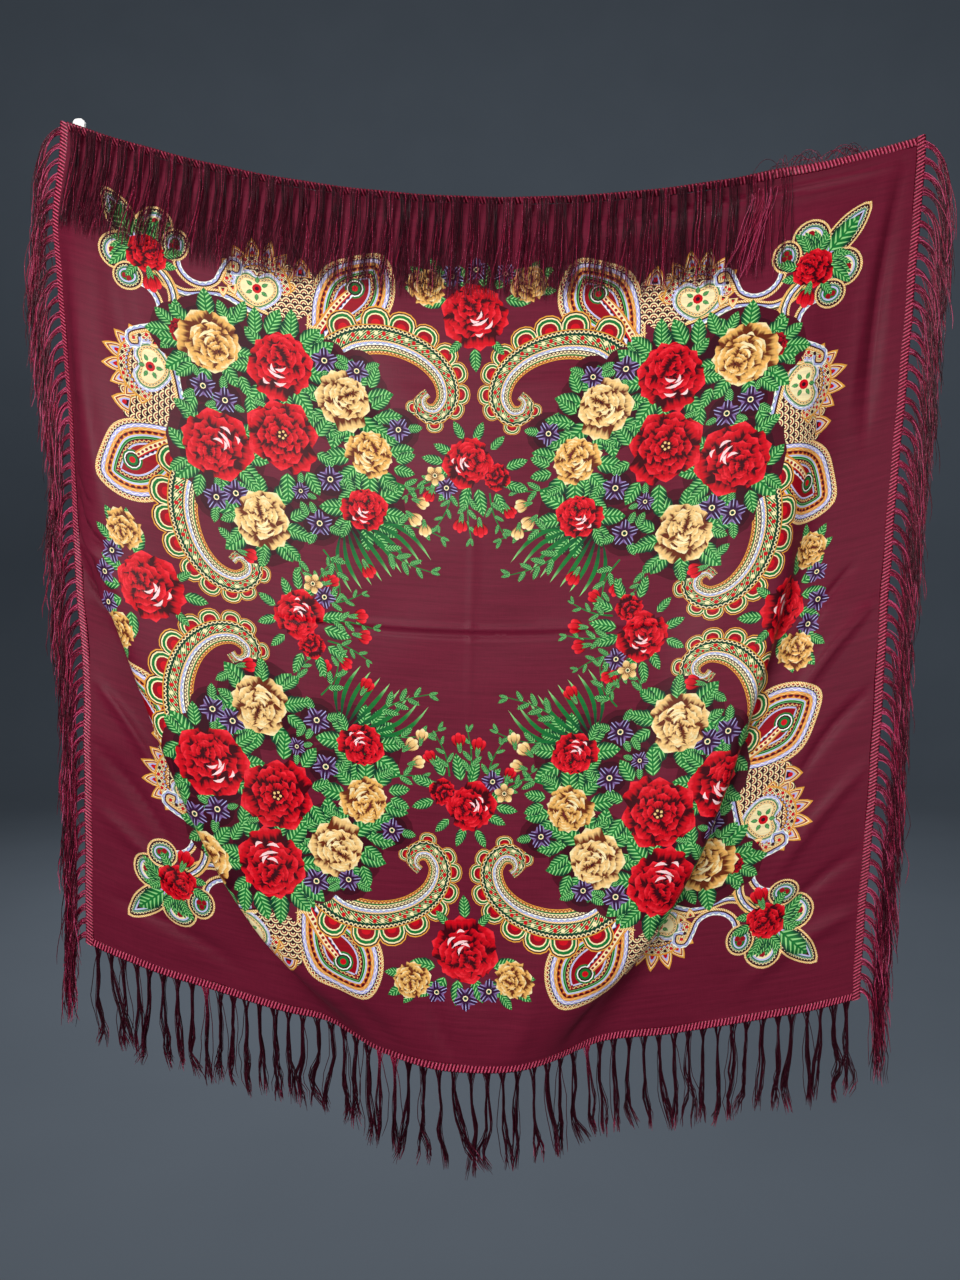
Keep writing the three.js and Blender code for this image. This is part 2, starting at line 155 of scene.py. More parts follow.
def top_edge(across):
    u = np.linspace(-1, 1, 401)
    x = u * CORNER_SPAN / 2
    z = -CORNER_TILT * u - TOP_SAG * (1 - u * u)
    run = np.concatenate([[0], np.cumsum(np.hypot(np.diff(x), np.diff(z)))])
    run *= SIDE / run[-1]
    return np.interp(across, run, x), np.interp(across, run, z)


def riser(distance, half, angle):
    """The step forwards and the width lost between the strip and a distance past a fold line."""
    start = -half
    end = np.clip(distance, -half, half + 2 * CREST_FALL_WIDTH)
    step = (end - start) / RISER_STEPS
    crest_fall = CREST_FALL_ANGLE * np.minimum(1, angle / CREST_FULL_ANGLE)
    forward = 0
    lost = 0
    for i in range(RISER_STEPS):
        at = start + step * (i + 0.5)
        fall = crest_fall * soft_bump((at - half) / CREST_FALL_WIDTH - CREST_FALL_START)
        turn = angle * soft_bump(at / half) - fall
        forward = forward + np.sin(turn) * step
        lost = lost + (1 - np.cos(turn)) * step
    return forward, lost


def fold_shift(table, inset, down):
    """How far one fold moves the cloth back, inwards and up. inset is measured from the fold's edge."""
    foot = down

    def measure(foot):
        low = np.clip(foot - 4, 0, SIDE)
        high = np.clip(foot + 4, 0, SIDE)
        rise = column(table, "inset", high) - column(table, "inset", low)
        lean = np.arctan(rise / (high - low))
        from_line = inset - column(table, "inset", foot)
        return lean, from_line * np.cos(lean) - (down - foot) * np.sin(lean)

    for _ in range(FOOT_STEPS):
        lean, distance = measure(foot)
        foot = np.clip(0.5 * foot + 0.5 * (down + distance * np.sin(lean)), 0, SIDE)
    lean, distance = measure(foot)
    angle = np.radians(np.maximum(column(table, "angle", foot), 0))
    half = column(table, "half", foot)
    forward, lost = riser(distance, half, angle)
    all_forward, all_lost = riser(np.full_like(distance, 1e6), half, angle)
    left = all_lost - lost
    return all_forward - forward, left * np.cos(lean), left * np.sin(lean)


def hang(across, down):
    """Where a flat place of the cloth hangs, without its small creases."""
    edge_x, edge_z = top_edge(across)
    u = np.clip(down / LEAN_START, 0, 1)
    settled = u * u * (3 - 2 * u)
    plumb = MIDDLE_SHIFT + MIDDLE_LEAN * down + across - SIDE / 2
    left_back, left_in, left_up = fold_shift(LEFT_FOLD, across, down)
    right_back, right_in, right_up = fold_shift(RIGHT_FOLD, SIDE - across, down)
    pucker_left = column(PUCKER, "left", down) * np.clip(1 - across / PUCKER_WIDTH, 0, 1) ** 2
    pucker_right = column(PUCKER, "right", down) * np.clip(1 - (SIDE - across) / PUCKER_WIDTH, 0, 1) ** 2
    shortened = EDGE_SHORTENING * down * np.clip(1 - across / EDGE_SHORTENING_WIDTH, 0, 1) ** 2
    x = edge_x * (1 - settled) + plumb * settled + left_in - right_in + pucker_left - pucker_right
    y = left_back + right_back - column(BELLY, "out", down)
    z = edge_z - down + left_up + right_up + shortened
    return np.stack([x, y, z], -1)


def creases(across, down):
    """Height of the low ripples and small creases out of the cloth's face."""
    wide = np.sin(across / 31 + 1.7 * np.sin(down / 83)) * np.sin(down / 47 + 1.3 * np.sin(across / 61))
    close = np.sin(across / 17 + down / 29) * np.sin(down / 23 - across / 71)
    height = 0.5 * wide + 0.35 * close
    for a, b, half, rise, bow in CREASES:
        local = (across + 1j * down - a) / (b - a)
        along = np.clip(local.real, 0, 1)
        off = local.imag * abs(b - a) - bow * np.sin(np.pi * along)
        beyond = (local.real - along) * abs(b - a)
        taper = np.sin(np.pi * np.clip(local.real, 0.02, 0.98)) ** 0.6
        height = height + CREASE_DEPTH * rise * taper * np.exp(-(off**2 + beyond**2) / half**2)
    return height


def unit(v):
    return v / np.linalg.norm(v, axis=-1, keepdims=True)


def faces_out(points, step):
    """Unit normals for a grid of points, rows down and columns across."""
    down = np.gradient(points, step, axis=0)
    across = np.gradient(points, step, axis=1)
    return unit(np.cross(down, across)) * -1


class Cloth:
    """The hanging cloth, sampled once on a fine grid and read smoothly between its points."""

    STEP = 2.0

    def __init__(self):
        places = np.arange(0, SIDE + 1, self.STEP)
        across, down = np.meshgrid(places, places)
        middle = len(places) // 2
        self.plain = hang(across, down)
        out = faces_out(self.plain, self.STEP)
        to_room = np.sign(-out[middle, middle, 1])
        self.plain_out = out * to_room
        self.creased = self.plain + self.plain_out * creases(across, down)[..., None]
        self.creased_out = faces_out(self.creased, self.STEP) * to_room

    def read(self, grid, across, down):
        last = len(grid) - 1
        r = np.clip(np.asarray(down) / self.STEP, 0, last)
        c = np.clip(np.asarray(across) / self.STEP, 0, last)
        r0 = np.minimum(r.astype(int), last - 1)
        c0 = np.minimum(c.astype(int), last - 1)
        fr = (r - r0)[..., None]
        fc = (c - c0)[..., None]
        upper = grid[r0, c0] * (1 - fc) + grid[r0, c0 + 1] * fc
        lower = grid[r0 + 1, c0] * (1 - fc) + grid[r0 + 1, c0 + 1] * fc
        return upper * (1 - fr) + lower * fr

    def points(self, across, down, off):
        return self.read(self.creased, across, down) + off * self.normals(across, down)

    def normals(self, across, down):
        return unit(self.read(self.creased_out, across, down))


cloth = Cloth()


# The inks of the print, and of the painted shade round the bouquets, as sRGB, in the order that the palette
# numbers them
INKS = {
    "ground": (104, 24, 46),
    "dark": (56, 8, 24),
    "cream": (250, 232, 180),
    "gold": (228, 160, 62),
    "orange": (236, 150, 70),
    "red": (206, 6, 26),
    "deep_red": (150, 6, 26),
    "rose_dark": (62, 0, 12),
    "coral": (244, 44, 58),
    "pink": (255, 214, 214),
    "lilac": (184, 182, 232),
    "violet": (52, 14, 54),
    "mauve": (126, 90, 150),
    "white": (250, 246, 240),
    "green": (22, 116, 50),
    "deep_green": (10, 58, 40),
    "pale_green": (164, 234, 146),
    "umber": (104, 42, 18),
    "sky": (130, 168, 190),
    "straw": (244, 200, 128),
    "apricot": (238, 180, 96),
    # shade only serves the painted shade round the bouquets' flowers
    "shade": (78, 14, 32),
}
INK_NAMES = list(INKS)
KINDS = ["ground", "petal", "leaf", "band"]
STYLES = ["plain", "dots", "scallops", "rope", "wave", "flowers", "field"]

# The three inks of a flower or leaf: dark, body and light
RED = "rose_dark red coral"
DEEP = "rose_dark deep_red red"
CREAM = "umber straw cream"
AMBER = "umber apricot cream"
GRASS = "deep_green green pale_green"
VIOLET = "violet mauve lilac"


def linear(rgb):
    """An sRGB colour, 0 to 255, as Blender's linear colour."""
    c = np.array(rgb, float) / 255
    return tuple(np.where(c <= 0.04045, c / 12.92, ((c + 0.055) / 1.055) ** 2.4)) + (1.0,)


# Drawing

Picture = namedtuple("Picture", "places faces maps marks")
SAME_PLACE = 1e-6


class Pen:
    """Draws flat faces in painter's order. Each has two pattern coordinates, affine in its flat place."""

    def __init__(self, picture, at=lambda z: z):
        self.picture = picture
        self.at = at

    def placed(self, at):
        """The same pen, which first passes what it draws through a map of the flat cloth."""
        return Pen(self.picture, lambda z: self.at(at(z)))

    def moved(self, centre, turn=0.0):
        spin = np.exp(1j * math.radians(turn))
        return self.placed(lambda z: centre + spin * z)

    def face(self, outline, coords, kind, inks, style=0.0):
        """One face of a kind of pattern, in three inks, or in one that stands for all three."""
        picture = self.picture
        flat = self.at(np.asarray(outline, complex))
        rows = np.stack([flat.real, flat.imag, np.ones(len(flat))], -1)
        picture.maps.append(np.linalg.lstsq(rows, np.asarray(coords, float), rcond=None)[0])
        first = len(picture.places)
        order = list(range(first, first + len(flat)))
        ahead = np.roll(flat, -1)
        if (flat.real * ahead.imag - ahead.real * flat.imag).sum() < 0:
            order.reverse()
        picture.places.extend(flat)
        picture.faces.append(order)
        names = inks.split()
        numbers = [INK_NAMES.index(name) for name in (names if len(names) == 3 else names * 3)]
        picture.marks.append([KINDS.index(kind), style, *numbers])

    def strip(self, one, other, u, style, inks):
        """A band between two rows of points, with u along it in repeats and 0 to 1 across it."""
        for i in range(len(one) - 1):
            a, b, c, d = one[i], one[i + 1], other[i + 1], other[i]
            if abs(b - a) + abs(c - d) < SAME_PLACE:
                continue
            corners = [(u[i], 0), (u[i + 1], 0), (u[i + 1], 1), (u[i], 1)]
            self.face([a, b, c], corners[:3], "band", inks, STYLES.index(style))
            self.face([a, c, d], [corners[0], *corners[2:]], "band", inks, STYLES.index(style))

    def fill(self, outline, ink):
        self.face(outline, np.full((len(outline), 2), 0.5), "band", ink)

    def disc(self, centre, radius, ink, sides=12):
        self.fill(centre + radius * np.exp(2j * np.pi * np.arange(sides) / sides), ink)


def smooth(points, count, closed=False):
    """Evenly spaced points of a smooth curve through the given ones. A closed curve leaves out its last."""
    p = np.asarray(points, complex)
    if closed:
        p = np.concatenate([p[-1:], p, p[:2]])
    else:
        p = np.concatenate([[2 * p[0] - p[1]], p, [2 * p[-1] - p[-2]]])
    t = np.linspace(0, 1, 24, endpoint=False)
    fine = []
    for a, b, c, d in zip(p, p[1:], p[2:], p[3:]):
        bend = 2 * a - 5 * b + 4 * c - d
        twist = 3 * b - a - 3 * c + d
        fine.append(0.5 * (2 * b + (c - a) * t + bend * t**2 + twist * t**3))
    fine = np.concatenate([*fine, [p[-2]]])
    run = lengths(fine)
    at = np.linspace(0, run[-1], count)
    curve = np.interp(at, run, fine.real) + 1j * np.interp(at, run, fine.imag)
    return curve[:-1] if closed else curve


def lengths(curve):
    return np.concatenate([[0], np.cumsum(abs(np.diff(curve)))])


def sideways(curve):
    """Unit normals of a curve, to the left of its way in the flat (across, down) plane."""
    step = np.gradient(curve)
    return 1j * step / abs(step)


# Flowers

STRIPED = 2.0
PLAIN_PETAL = 0.5


def petal(pen, turn, reach, spread, from_a, inks, lobes=2, style=PLAIN_PETAL, base=0.0, half=4):
    """One petal of a flower from base out to reach, as wide as spread. Its shading starts at from_a."""
    t = np.linspace(-1, 1, 2 * half + 1)
    tip = reach * (1 - 0.16 * t**2 + 0.07 * np.cos(lobes * math.pi * t))
    y = spread * np.sin(t * math.pi / 2 * 0.96)
    x = tip * np.sqrt(np.maximum(1 - 0.62 * t**6, 0))
    heel = base * reach + 0.62j * spread * base
    outline = np.concatenate([[heel.conjugate()], x + 1j * y, [heel] if base else []])
    coords = np.stack([(outline.real / reach - from_a) / (1 - from_a), outline.imag / spread], -1)
    pen.placed(lambda z: z * np.exp(1j * turn)).face(outline, coords, "petal", inks, style)


def stroke(pen, a, b, bow, half, inks, steps=5, kind="band"):
    """A tapered brush stroke from a to b."""
    t = np.linspace(0, 1, steps)
    middle = a + (b - a) * t
    left = 1j * (b - a) / abs(b - a)
    middle = middle + left * bow * np.sin(math.pi * t)
    width = half * np.sin(math.pi * np.clip(t, 0.03, 1)) ** 0.8
    outline = np.concatenate([middle + left * width, (middle - left * width)[::-1][1:-1]])
    coords = np.stack([((outline - a) / (b - a)).real, np.full(len(outline), 0.5)], -1)
    pen.face(outline, coords, kind, inks)


# Each ring of a rose: petals, reach, spread, base, where the shading starts, and its lean towards the heart
Ring = namedtuple("Ring", "count reach spread base from_a lean")
ROSE_RINGS = [
    Ring(6, 1.00, 0.50, 0.48, 0.66, 0.00),
    Ring(6, 0.80, 0.42, 0.44, 0.60, 0.09),
    Ring(5, 0.63, 0.38, 0.40, 0.54, 0.18),
    Ring(5, 0.47, 0.30, 0.34, 0.48, 0.26),
    Ring(4, 0.33, 0.23, 0.26, 0.40, 0.32),
    Ring(2, 0.20, 0.17, 0.00, 0.10, 0.36),
]
PEONY_RINGS = [
    Ring(7, 1.00, 0.44, 0.52, 0.72, 0.00),
    Ring(7, 0.81, 0.36, 0.48, 0.68, 0.04),
    Ring(7, 0.63, 0.29, 0.42, 0.62, 0.06),
    Ring(6, 0.46, 0.23, 0.34, 0.56, 0.06),
    Ring(5, 0.30, 0.17, 0.00, 0.28, 0.06),
]
# Turn from the way to the heart, distance out and length of each light stroke, in flower sizes
ROSE_LIGHTS = [(2.7, 0.08, 0.34), (3.3, 0.26, 0.58), (4.0, 0.20, 0.30), (2.9, 0.50, 0.38), (3.6, 0.62, 0.26)]


def rings(pen, rows, colours, size, way, draw):
    for ring in rows:
        shifted = pen.moved(size * ring.lean * way)
        first = draw.uniform(0, 2 * math.pi)
        half = 4 if size > 20 and ring.reach > 0.6 else 3
        for k in draw.permutation(ring.count):
            turn = first + 2 * math.pi * k / ring.count + draw.uniform(-0.14, 0.14)
            grow = size * draw.uniform(0.86, 1.10)
            from_a = ring.from_a + draw.uniform(-0.04, 0.04)
            lobes = int(draw.integers(2, 4))
            style = draw.uniform()
            reach, spread = ring.reach * grow, ring.spread * grow
            petal(shifted, turn, reach, spread, from_a, colours, lobes, style, ring.base, half)


def rose(pen, colours, size, seed, highlights=True):
    """A full rose: rings of petals that lean towards its heart, and light strokes on the front ones."""
    draw = np.random.default_rng(seed)
    way = np.exp(1j * draw.uniform(0, 2 * math.pi))
    rings(pen, ROSE_RINGS if size > 16 else ROSE_RINGS[::2], colours, size, way, draw)
    heart = size * 0.36 * way
    dark = colours.split()[0]
    stroke(pen, heart - 0.10j * size, heart + 0.10j * size, size * 0.05, size * 0.04, dark)
    stroke(pen, heart + 0.06 * size, heart + (0.04 + 0.13j) * size, -size * 0.04, size * 0.03, dark)
    for turn, reach, long in ROSE_LIGHTS if highlights else []:
        lean = way * np.exp(1j * turn)
        middle = lean * size * reach
        across = 1j * lean * size * long / 2
        light = "pink" if colours == RED else "cream"
        stroke(pen, middle - across, middle + across, -size * 0.07, size * 0.048, light)


def peony(pen, colours, size, seed):
    """A rounder flower with many short petals and a small dotted heart."""
    draw = np.random.default_rng(seed)
    way = np.exp(1j * draw.uniform(0, 2 * math.pi))
    rings(pen, PEONY_RINGS, colours, size, way, draw)
    pen.disc(0, size * 0.15, colours.split()[0])
    for k in range(5):
        pen.disc(size * 0.09 * np.exp(2j * math.pi * k / 5), size * 0.04, "straw", 5)


def daisy(pen, size, colours=VIOLET):
    """A small open flower with five petals, striped where they are violet, and a ringed heart."""
    style = STRIPED if colours == VIOLET else PLAIN_PETAL
    for k in range(5):
        petal(pen, 2 * math.pi * k / 5, size, size * 0.40, 0.12, colours, style=style, half=2)
    pen.disc(0, size * 0.24, "cream", 8)
    pen.disc(0, size * 0.15, "deep_green", 6)


def leaf(pen, start, tip, width):
    """A serrated leaf from its stalk to its tip, its veins drawn by the material."""
    axis = tip - start
    steps = 8 if abs(axis) > 20 else 6
    t = np.linspace(0, 1, steps)
    teeth = 1 + 0.10 * (np.arange(steps) % 2)
    half = 0.5 * width * abs(axis) * np.sin(math.pi * t**0.78) ** 0.85 * teeth
    half[0] = half[-1] = 0
    left = 1j * axis / abs(axis)
    middle = start + axis * t
    outline = np.concatenate([middle + left * half, (middle - left * half)[::-1][1:-1]])
    local = (outline - start) / axis
    coords = np.stack([local.real, local.imag / (0.5 * width)], -1)
    pen.face(outline, coords, "leaf", GRASS)


def leaves(pen, rows, width):
    for start, tip in rows:
        leaf(pen, start, tip, width)


def spray(pen, start, end, bow, count, size):
    """A thin curved stalk with leaves on both sides."""
    t = np.linspace(0, 1, 10)
    left = 1j * (end - start) / abs(end - start)
    stalk = start + (end - start) * t + left * bow * np.sin(math.pi * t)
    way = np.gradient(stalk)
    way /= abs(way)
    half = np.linspace(0.9, 0.5, 10)
    pen.strip(stalk + 1j * way * half, stalk - 1j * way * half, t, "plain", "green")
    for k in range(count):
        i = 2 + int(7 * k / max(count - 1, 1))
        side = 1 if k % 2 else -1
        grow = size * (1.35 - 0.6 * k / count)
        leaf(pen, stalk[i], stalk[i] + way[i] * np.exp(0.75j * side) * grow, 0.42)
    leaf(pen, stalk[-1], stalk[-1] + way[-1] * size * 0.7, 0.42)


def buds(pen, rows, colours):
    """Closed buds in their green cups, each from its stalk to its tip."""
    for start, tip in rows:
        axis = tip - start
        for turn, long in ((-0.35, 0.9), (0.35, 0.9), (0.0, 1.0)):
            way = np.angle(axis * np.exp(1j * turn))
            petal(pen.moved(start), way, abs(axis) * long, abs(axis) * 0.24, 0.1, colours, lobes=1)
        leaf(pen, start - axis * 0.25, start + axis * 0.45 + 0.12j * axis, 0.3)
        leaf(pen, start - axis * 0.25, start + axis * 0.45 - 0.12j * axis, 0.3)


# Ornament

# The bands of each ornament, from its outer side in: width, style, length of a repeat, and inks
SERPENT_BANDS = [
    (0.6, "plain", 5, "gold gold dark"),
    (1.5, "scallops", 4.0, "cream dark deep_green"),
    (0.5, "plain", 5, "deep_green"),
    (3.4, "flowers", 7.5, "green red cream"),
    (0.5, "plain", 5, "deep_green"),
    (0.7, "rope", 2.8, "cream gold gold"),
    (1.3, "wave", 6.5, "lilac white sky"),
    (0.4, "plain", 5, "dark"),
    (1.4, "scallops", 4.2, "dark cream cream"),
    (0.6, "plain", 5, "green"),
    (1.4, "scallops", 4.6, "deep_red straw gold"),
]
DROP_BANDS = [
    (2.2, "rope", 2.6, "gold cream gold"),
    (3.2, "scallops", 4.6, "cream deep_red dark"),
    (3.6, "wave", 8, "lilac lilac white"),
    (3.2, "wave", 9, "gold orange straw"),
    (3.8, "scallops", 6.4, "deep_red dark gold"),
    (1.6, "plain", 4, "lilac white white"),
    (2.2, "plain", 4, "green green pale_green"),
    (1.2, "plain", 4, "dark"),
    (3.0, "scallops", 4.6, "straw deep_red dark"),
    (1.6, "plain", 4, "lilac lilac white"),
]
STEM_BANDS = [
    (1.0, "plain", 5, "gold gold red"),
    (2.6, "dots", 5, "cream deep_red green"),
    (0.8, "plain", 5, "red"),
    (1.8, "wave", 6, "dark white lilac"),
]
HEART_BANDS = [
    (2.0, "plain", 5, "lilac lilac white"),
    (1.6, "wave", 6, "white sky sky"),
    (2.0, "plain", 5, "green green cream"),
    (1.6, "rope", 2.4, "cream gold gold"),
    (2.2, "scallops", 3.6, "cream dark gold"),
]
CROWN_BANDS = [
    (1.0, "plain", 5, "gold"),
    (3.4, "flowers", 7, "cream red dark"),
    (1.6, "scallops", 5, "dark lilac gold"),
]
SCROLL_BANDS = [
    (1.1, "rope", 2.4, "gold cream gold"),
    (0.7, "plain", 5, "dark"),
    (1.7, "wave", 7, "lilac white sky"),
    (1.0, "plain", 5, "deep_green deep_green straw"),
    (1.2, "rope", 2.4, "straw gold gold"),
]
CORNER_BANDS = [
    (1.8, "rope", 2.4, "gold cream gold"),
    (1.2, "plain", 4, "dark"),
    (2.2, "scallops", 3.6, "cream dark green"),
    (1.6, "plain", 4, "green green lilac"),
    (1.4, "plain", 4, "lilac white white"),
]
# The nested fills of a scallop, and of a pointed one: size and ink
LOBE_LEVELS = [
    (1.00, "gold"), (0.93, "dark"), (0.86, "cream"), (0.78, "green"), (0.62, "cream"), (0.54, "deep_red"),
    (0.30, "red"),
]
POINT_LEVELS = [
    (1.00, "gold"), (0.90, "dark"), (0.84, "cream"), (0.76, "deep_red"), (0.64, "straw"), (0.52, "lilac"),
    (0.34, "dark"),
]
# Along the spine, half width and height of each scallop on the long paisley
SERPENT_LOBES = [
    (0.15, 16, 23), (0.27, 16, 23), (0.38, 15.5, 22), (0.48, 14.5, 20), (0.57, 13, 18), (0.65, 12, 16),
    (0.72, 11, 14), (0.79, 10, 12), (0.86, 9, 11), (0.93, 8, 10),
]
# Turn from upright, distance out, half width and height of each point of the crown
CROWN = [
    (-80, 26, 7.5, 12), (-57, 28, 8, 15), (-35, 30, 8, 17),
    (-12, 31, 8, 19), (11, 31, 8, 19), (33, 30, 8, 17),
    (55, 29, 8, 15), (77, 27, 7.5, 12),
]


def nested(pen, outline, bands, share=1.0):
    """Closed bands from an outline inwards, each as a share of its width. It returns what is left inside."""
    curve = np.append(outline, outline[0])
    spin = (curve[:-1].real * curve[1:].imag - curve[1:].real * curve[:-1].imag).sum()
    inwards = 1 if spin > 0 else -1
    for width, style, repeat, inks in bands:
        ring = curve[:-1]
        way = np.roll(ring, -1) - np.roll(ring, 1)
        inner = ring + 1j * way / abs(way) * inwards * width * share
        inner = (np.roll(inner, 1) + 2 * inner + np.roll(inner, -1)) / 4
        inner = np.append(inner, inner[0])
        run = lengths(curve)
        turns = max(1, round(run[-1] / repeat))
        pen.strip(curve, inner, run / run[-1] * turns, style, inks)
        curve = inner
    return curve[:-1]


def ribbon(pen, spine, widths, bands, outer_left=True):
    """Bands side by side along an open curve, from its outer side in."""
    normal = sideways(spine) * (1 if outer_left else -1)
    run = lengths(spine)
    total = sum(band[0] for band in bands)
    edge = 0.5
    for width, style, repeat, inks in bands:
        low = edge - width / total
        turns = max(1, round(run[-1] / repeat))
        outer, inner = (spine + normal * widths * share for share in (edge, low))
        pen.strip(outer, inner, run / run[-1] * turns, style, inks)
        edge = low


def scallops(pen, rows):
    """Round scallops side by side, each (base, way out, half width, height), filled level by level."""
    t = np.linspace(0, math.pi, 9)
    for size, ink in LOBE_LEVELS:
        for base, way, half, tall in rows:
            shape = -half * np.cos(t) * (1 + 0.14 * np.sin(t)) * way / 1j + tall * np.sin(t) ** 0.7 * way
            pen.fill(base + shape * size + way * tall * 0.16 * (1 - size), ink)


def pointed(pen, rows, levels=POINT_LEVELS):
    """The same with a point each, and a red dot."""
    t = np.linspace(0, math.pi, 7)
    for size, ink in levels:
        for base, way, half, tall in rows:
            shape = -half * np.cos(t) * way / 1j + tall * np.sin(t) * way
            shape[3] += way * tall * 0.18
            pen.fill(base + shape * size + way * tall * 0.16 * (1 - size), ink)
    for base, way, half, tall in rows:
        pen.disc(base + way * tall * 0.36, min(half, tall) * 0.26, "red", 6)


def serpent(pen):
    """The long scalloped paisley that ends in a curl."""
    steps = 40
    spine = smooth([
        300 + 178j, 326 + 160j, 360 + 156j, 394 + 166j, 417 + 186j, 424 + 210j, 414 + 227j, 400 + 226j,
        396 + 214j, 403 + 207j,
    ], steps)
    t = np.linspace(0, 1, steps)
    widths = 35 * (1 - 0.45 * t) * np.clip((1 - t) * 9, 0.25, 1) ** 0.5
    normal = -sideways(spine)
    rows = []
    for share, half, tall in SERPENT_LOBES:
        i = int(share * (steps - 1))
        rows.append((spine[i] + normal[i] * widths[i] * 0.36, normal[i], half, tall))
    scallops(pen, rows)
    ribbon(pen, spine, widths, SERPENT_BANDS, outer_left=False)


def teardrop(pen):
    """The large boteh of the border, its round end towards the edge."""
    outline = smooth([
        284 + 168j, 278 + 140j, 281 + 112j, 294 + 86j, 320 + 73j, 350 + 68j, 365 + 90j, 366 + 118j,
        352 + 142j, 322 + 162j,
    ], 46, closed=True)
    pen.fill(nested(pen, outline, DROP_BANDS), "deep_red")
    core = 326 + 106j
    for radius, ink in ((10.5, "green"), (8.6, "white"), (7.4, "dark"), (5.8, "green"), (3.2, "red")):
        pen.disc(core, radius, ink)
    stem = smooth([core + (-5 + 5j), 308 + 126j, 296 + 146j, 284 + 166j], 12)
    ribbon(pen, stem, np.linspace(9, 17, 12), STEM_BANDS)


def heart(pen):
    """A heart-shaped medallion under a crown of points, beside a field of scales."""
    centre = 226 + 122j
    field = np.array([
        196 + 132j, 196 + 104j, 212 + 86j, 240 + 84j, 262 + 92j, 284 + 96j, 282 + 138j, 262 + 150j,
    ])
    scale = 9.0
    coords = np.stack([field.real / scale, field.imag / scale], -1)
    pen.face(field, coords, "band", "deep_red cream dark", STYLES.index("field"))
    rows = []
    for turn, out, half, tall in CROWN:
        way = -1j * np.exp(1j * math.radians(turn))
        rows.append((centre + way * out, way, half, tall))
    rows.append((270 + 102j, -0.1 - 1j, 10, 17))
    pointed(pen, rows)
    crown = centre + 30 * np.exp(1j * np.radians(np.linspace(-176, -4, 22)))
    ribbon(pen, crown, np.full(22, 12.0), CROWN_BANDS, outer_left=False)
    outline = smooth(centre + np.array([
        22j, -15 + 15j, -25 + 2j, -22 - 13j, -9 - 19j, -13j, 9 - 19j, 22 - 13j, 25 + 2j, 15 + 15j,
    ]), 46, closed=True)
    pen.fill(nested(pen, outline, HEART_BANDS, 0.8), "cream")
    middle = centre - 1j
    pen.disc(middle, 5.0, "red", 10)
    pen.disc(middle, 2.2, "dark", 8)
    for k in range(6):
        way = np.exp(2j * math.pi * (k + 0.5) / 6)
        leaf(pen, middle + way * 5.5, middle + way * 13, 0.55)


def scroll(pen):
    """The scroll that runs from the corner round a plain disc to the heart, and its curl."""
    steps = 34
    spine = smooth([
        120 + 122j, 134 + 136j, 152 + 142j, 174 + 137j, 194 + 136j, 212 + 143j, 234 + 150j, 262 + 156j,
        292 + 158j,
    ], steps)
    ribbon(pen, spine, np.linspace(10, 16, steps), SCROLL_BANDS, outer_left=False)
    curl = smooth([
        148 + 88j, 142 + 102j, 145 + 117j, 156 + 127j, 171 + 129j, 184 + 122j, 190 + 109j, 197 + 97j,
        207 + 99j, 206 + 109j, 199 + 108j,
    ], steps)
    ribbon(pen, curl, np.linspace(8, 7, steps), SCROLL_BANDS[:3])
    pointed(pen, [(191 + 126j, 0.1 + 1j, 5, 9), (200 + 122j, 0.4 + 1j, 5, 9)], POINT_LEVELS[::2])


def corner(pen):
    """The corner's leaf shape and its two pairs of lobes; its flower comes later, on top."""
    flipped = pen.placed(swap)
    tip = smooth([54 + 54j, 80 + 61j, 101 + 82j, 106 + 106j, 82 + 101j, 61 + 80j], 25, closed=True)
    turn = np.exp(2j * np.pi * np.arange(20) / 20)
    drop = 115 + 80j + 20 * turn
    small = 139 + 94j + (15 * turn.real + 17j * turn.imag)
    pen.fill(nested(pen, tip, CORNER_BANDS), "dark")
    leaf(pen, 96 + 96j, 66 + 66j, 0.5)
    for outline, wide, ink in ((drop, 20, "cream"), (small, 15, "green")):
        for way in (pen, flipped):
            inner = nested(way, outline, CORNER_BANDS)
            way.fill(inner, ink)
            for k in range(3):
                middle = inner.mean() + wide * 0.22 * np.exp(2j * math.pi * (k / 3 + 0.1))
                way.disc(middle, wide * 0.20, "deep_red", 7)
    for way in (pen, flipped):
        for k in range(4):
            start = 100 + 96j + 3 * k
            leaf(way, start, start + (2 + 7 * k) - 24j, 0.36)


# Bouquets, drawn where the top left quarter and the top side have them. A quarter's bouquet isn't symmetric.

ROSES = [
    (342 + 330j, RED, 23, 5),
    (150 + 182j, DEEP, 13, 6),
    (180 + 186j, AMBER, 32, 11),
    (346 + 274j, AMBER, 25, 14),
    (318 + 222j, CREAM, 29, 13),
    (238 + 356j, CREAM, 28, 15),
    (190 + 288j, RED, 34, 22),
    (252 + 196j, RED, 35, 21),
]
VIOLETS = [
    (174 + 232j, 13), (197 + 242j, 13), (297 + 184j, 13), (330 + 190j, 12), (374 + 246j, 12),
    (306 + 304j, 13), (296 + 350j, 13), (190 + 342j, 13), (210 + 334j, 13), (276 + 320j, 9),
]
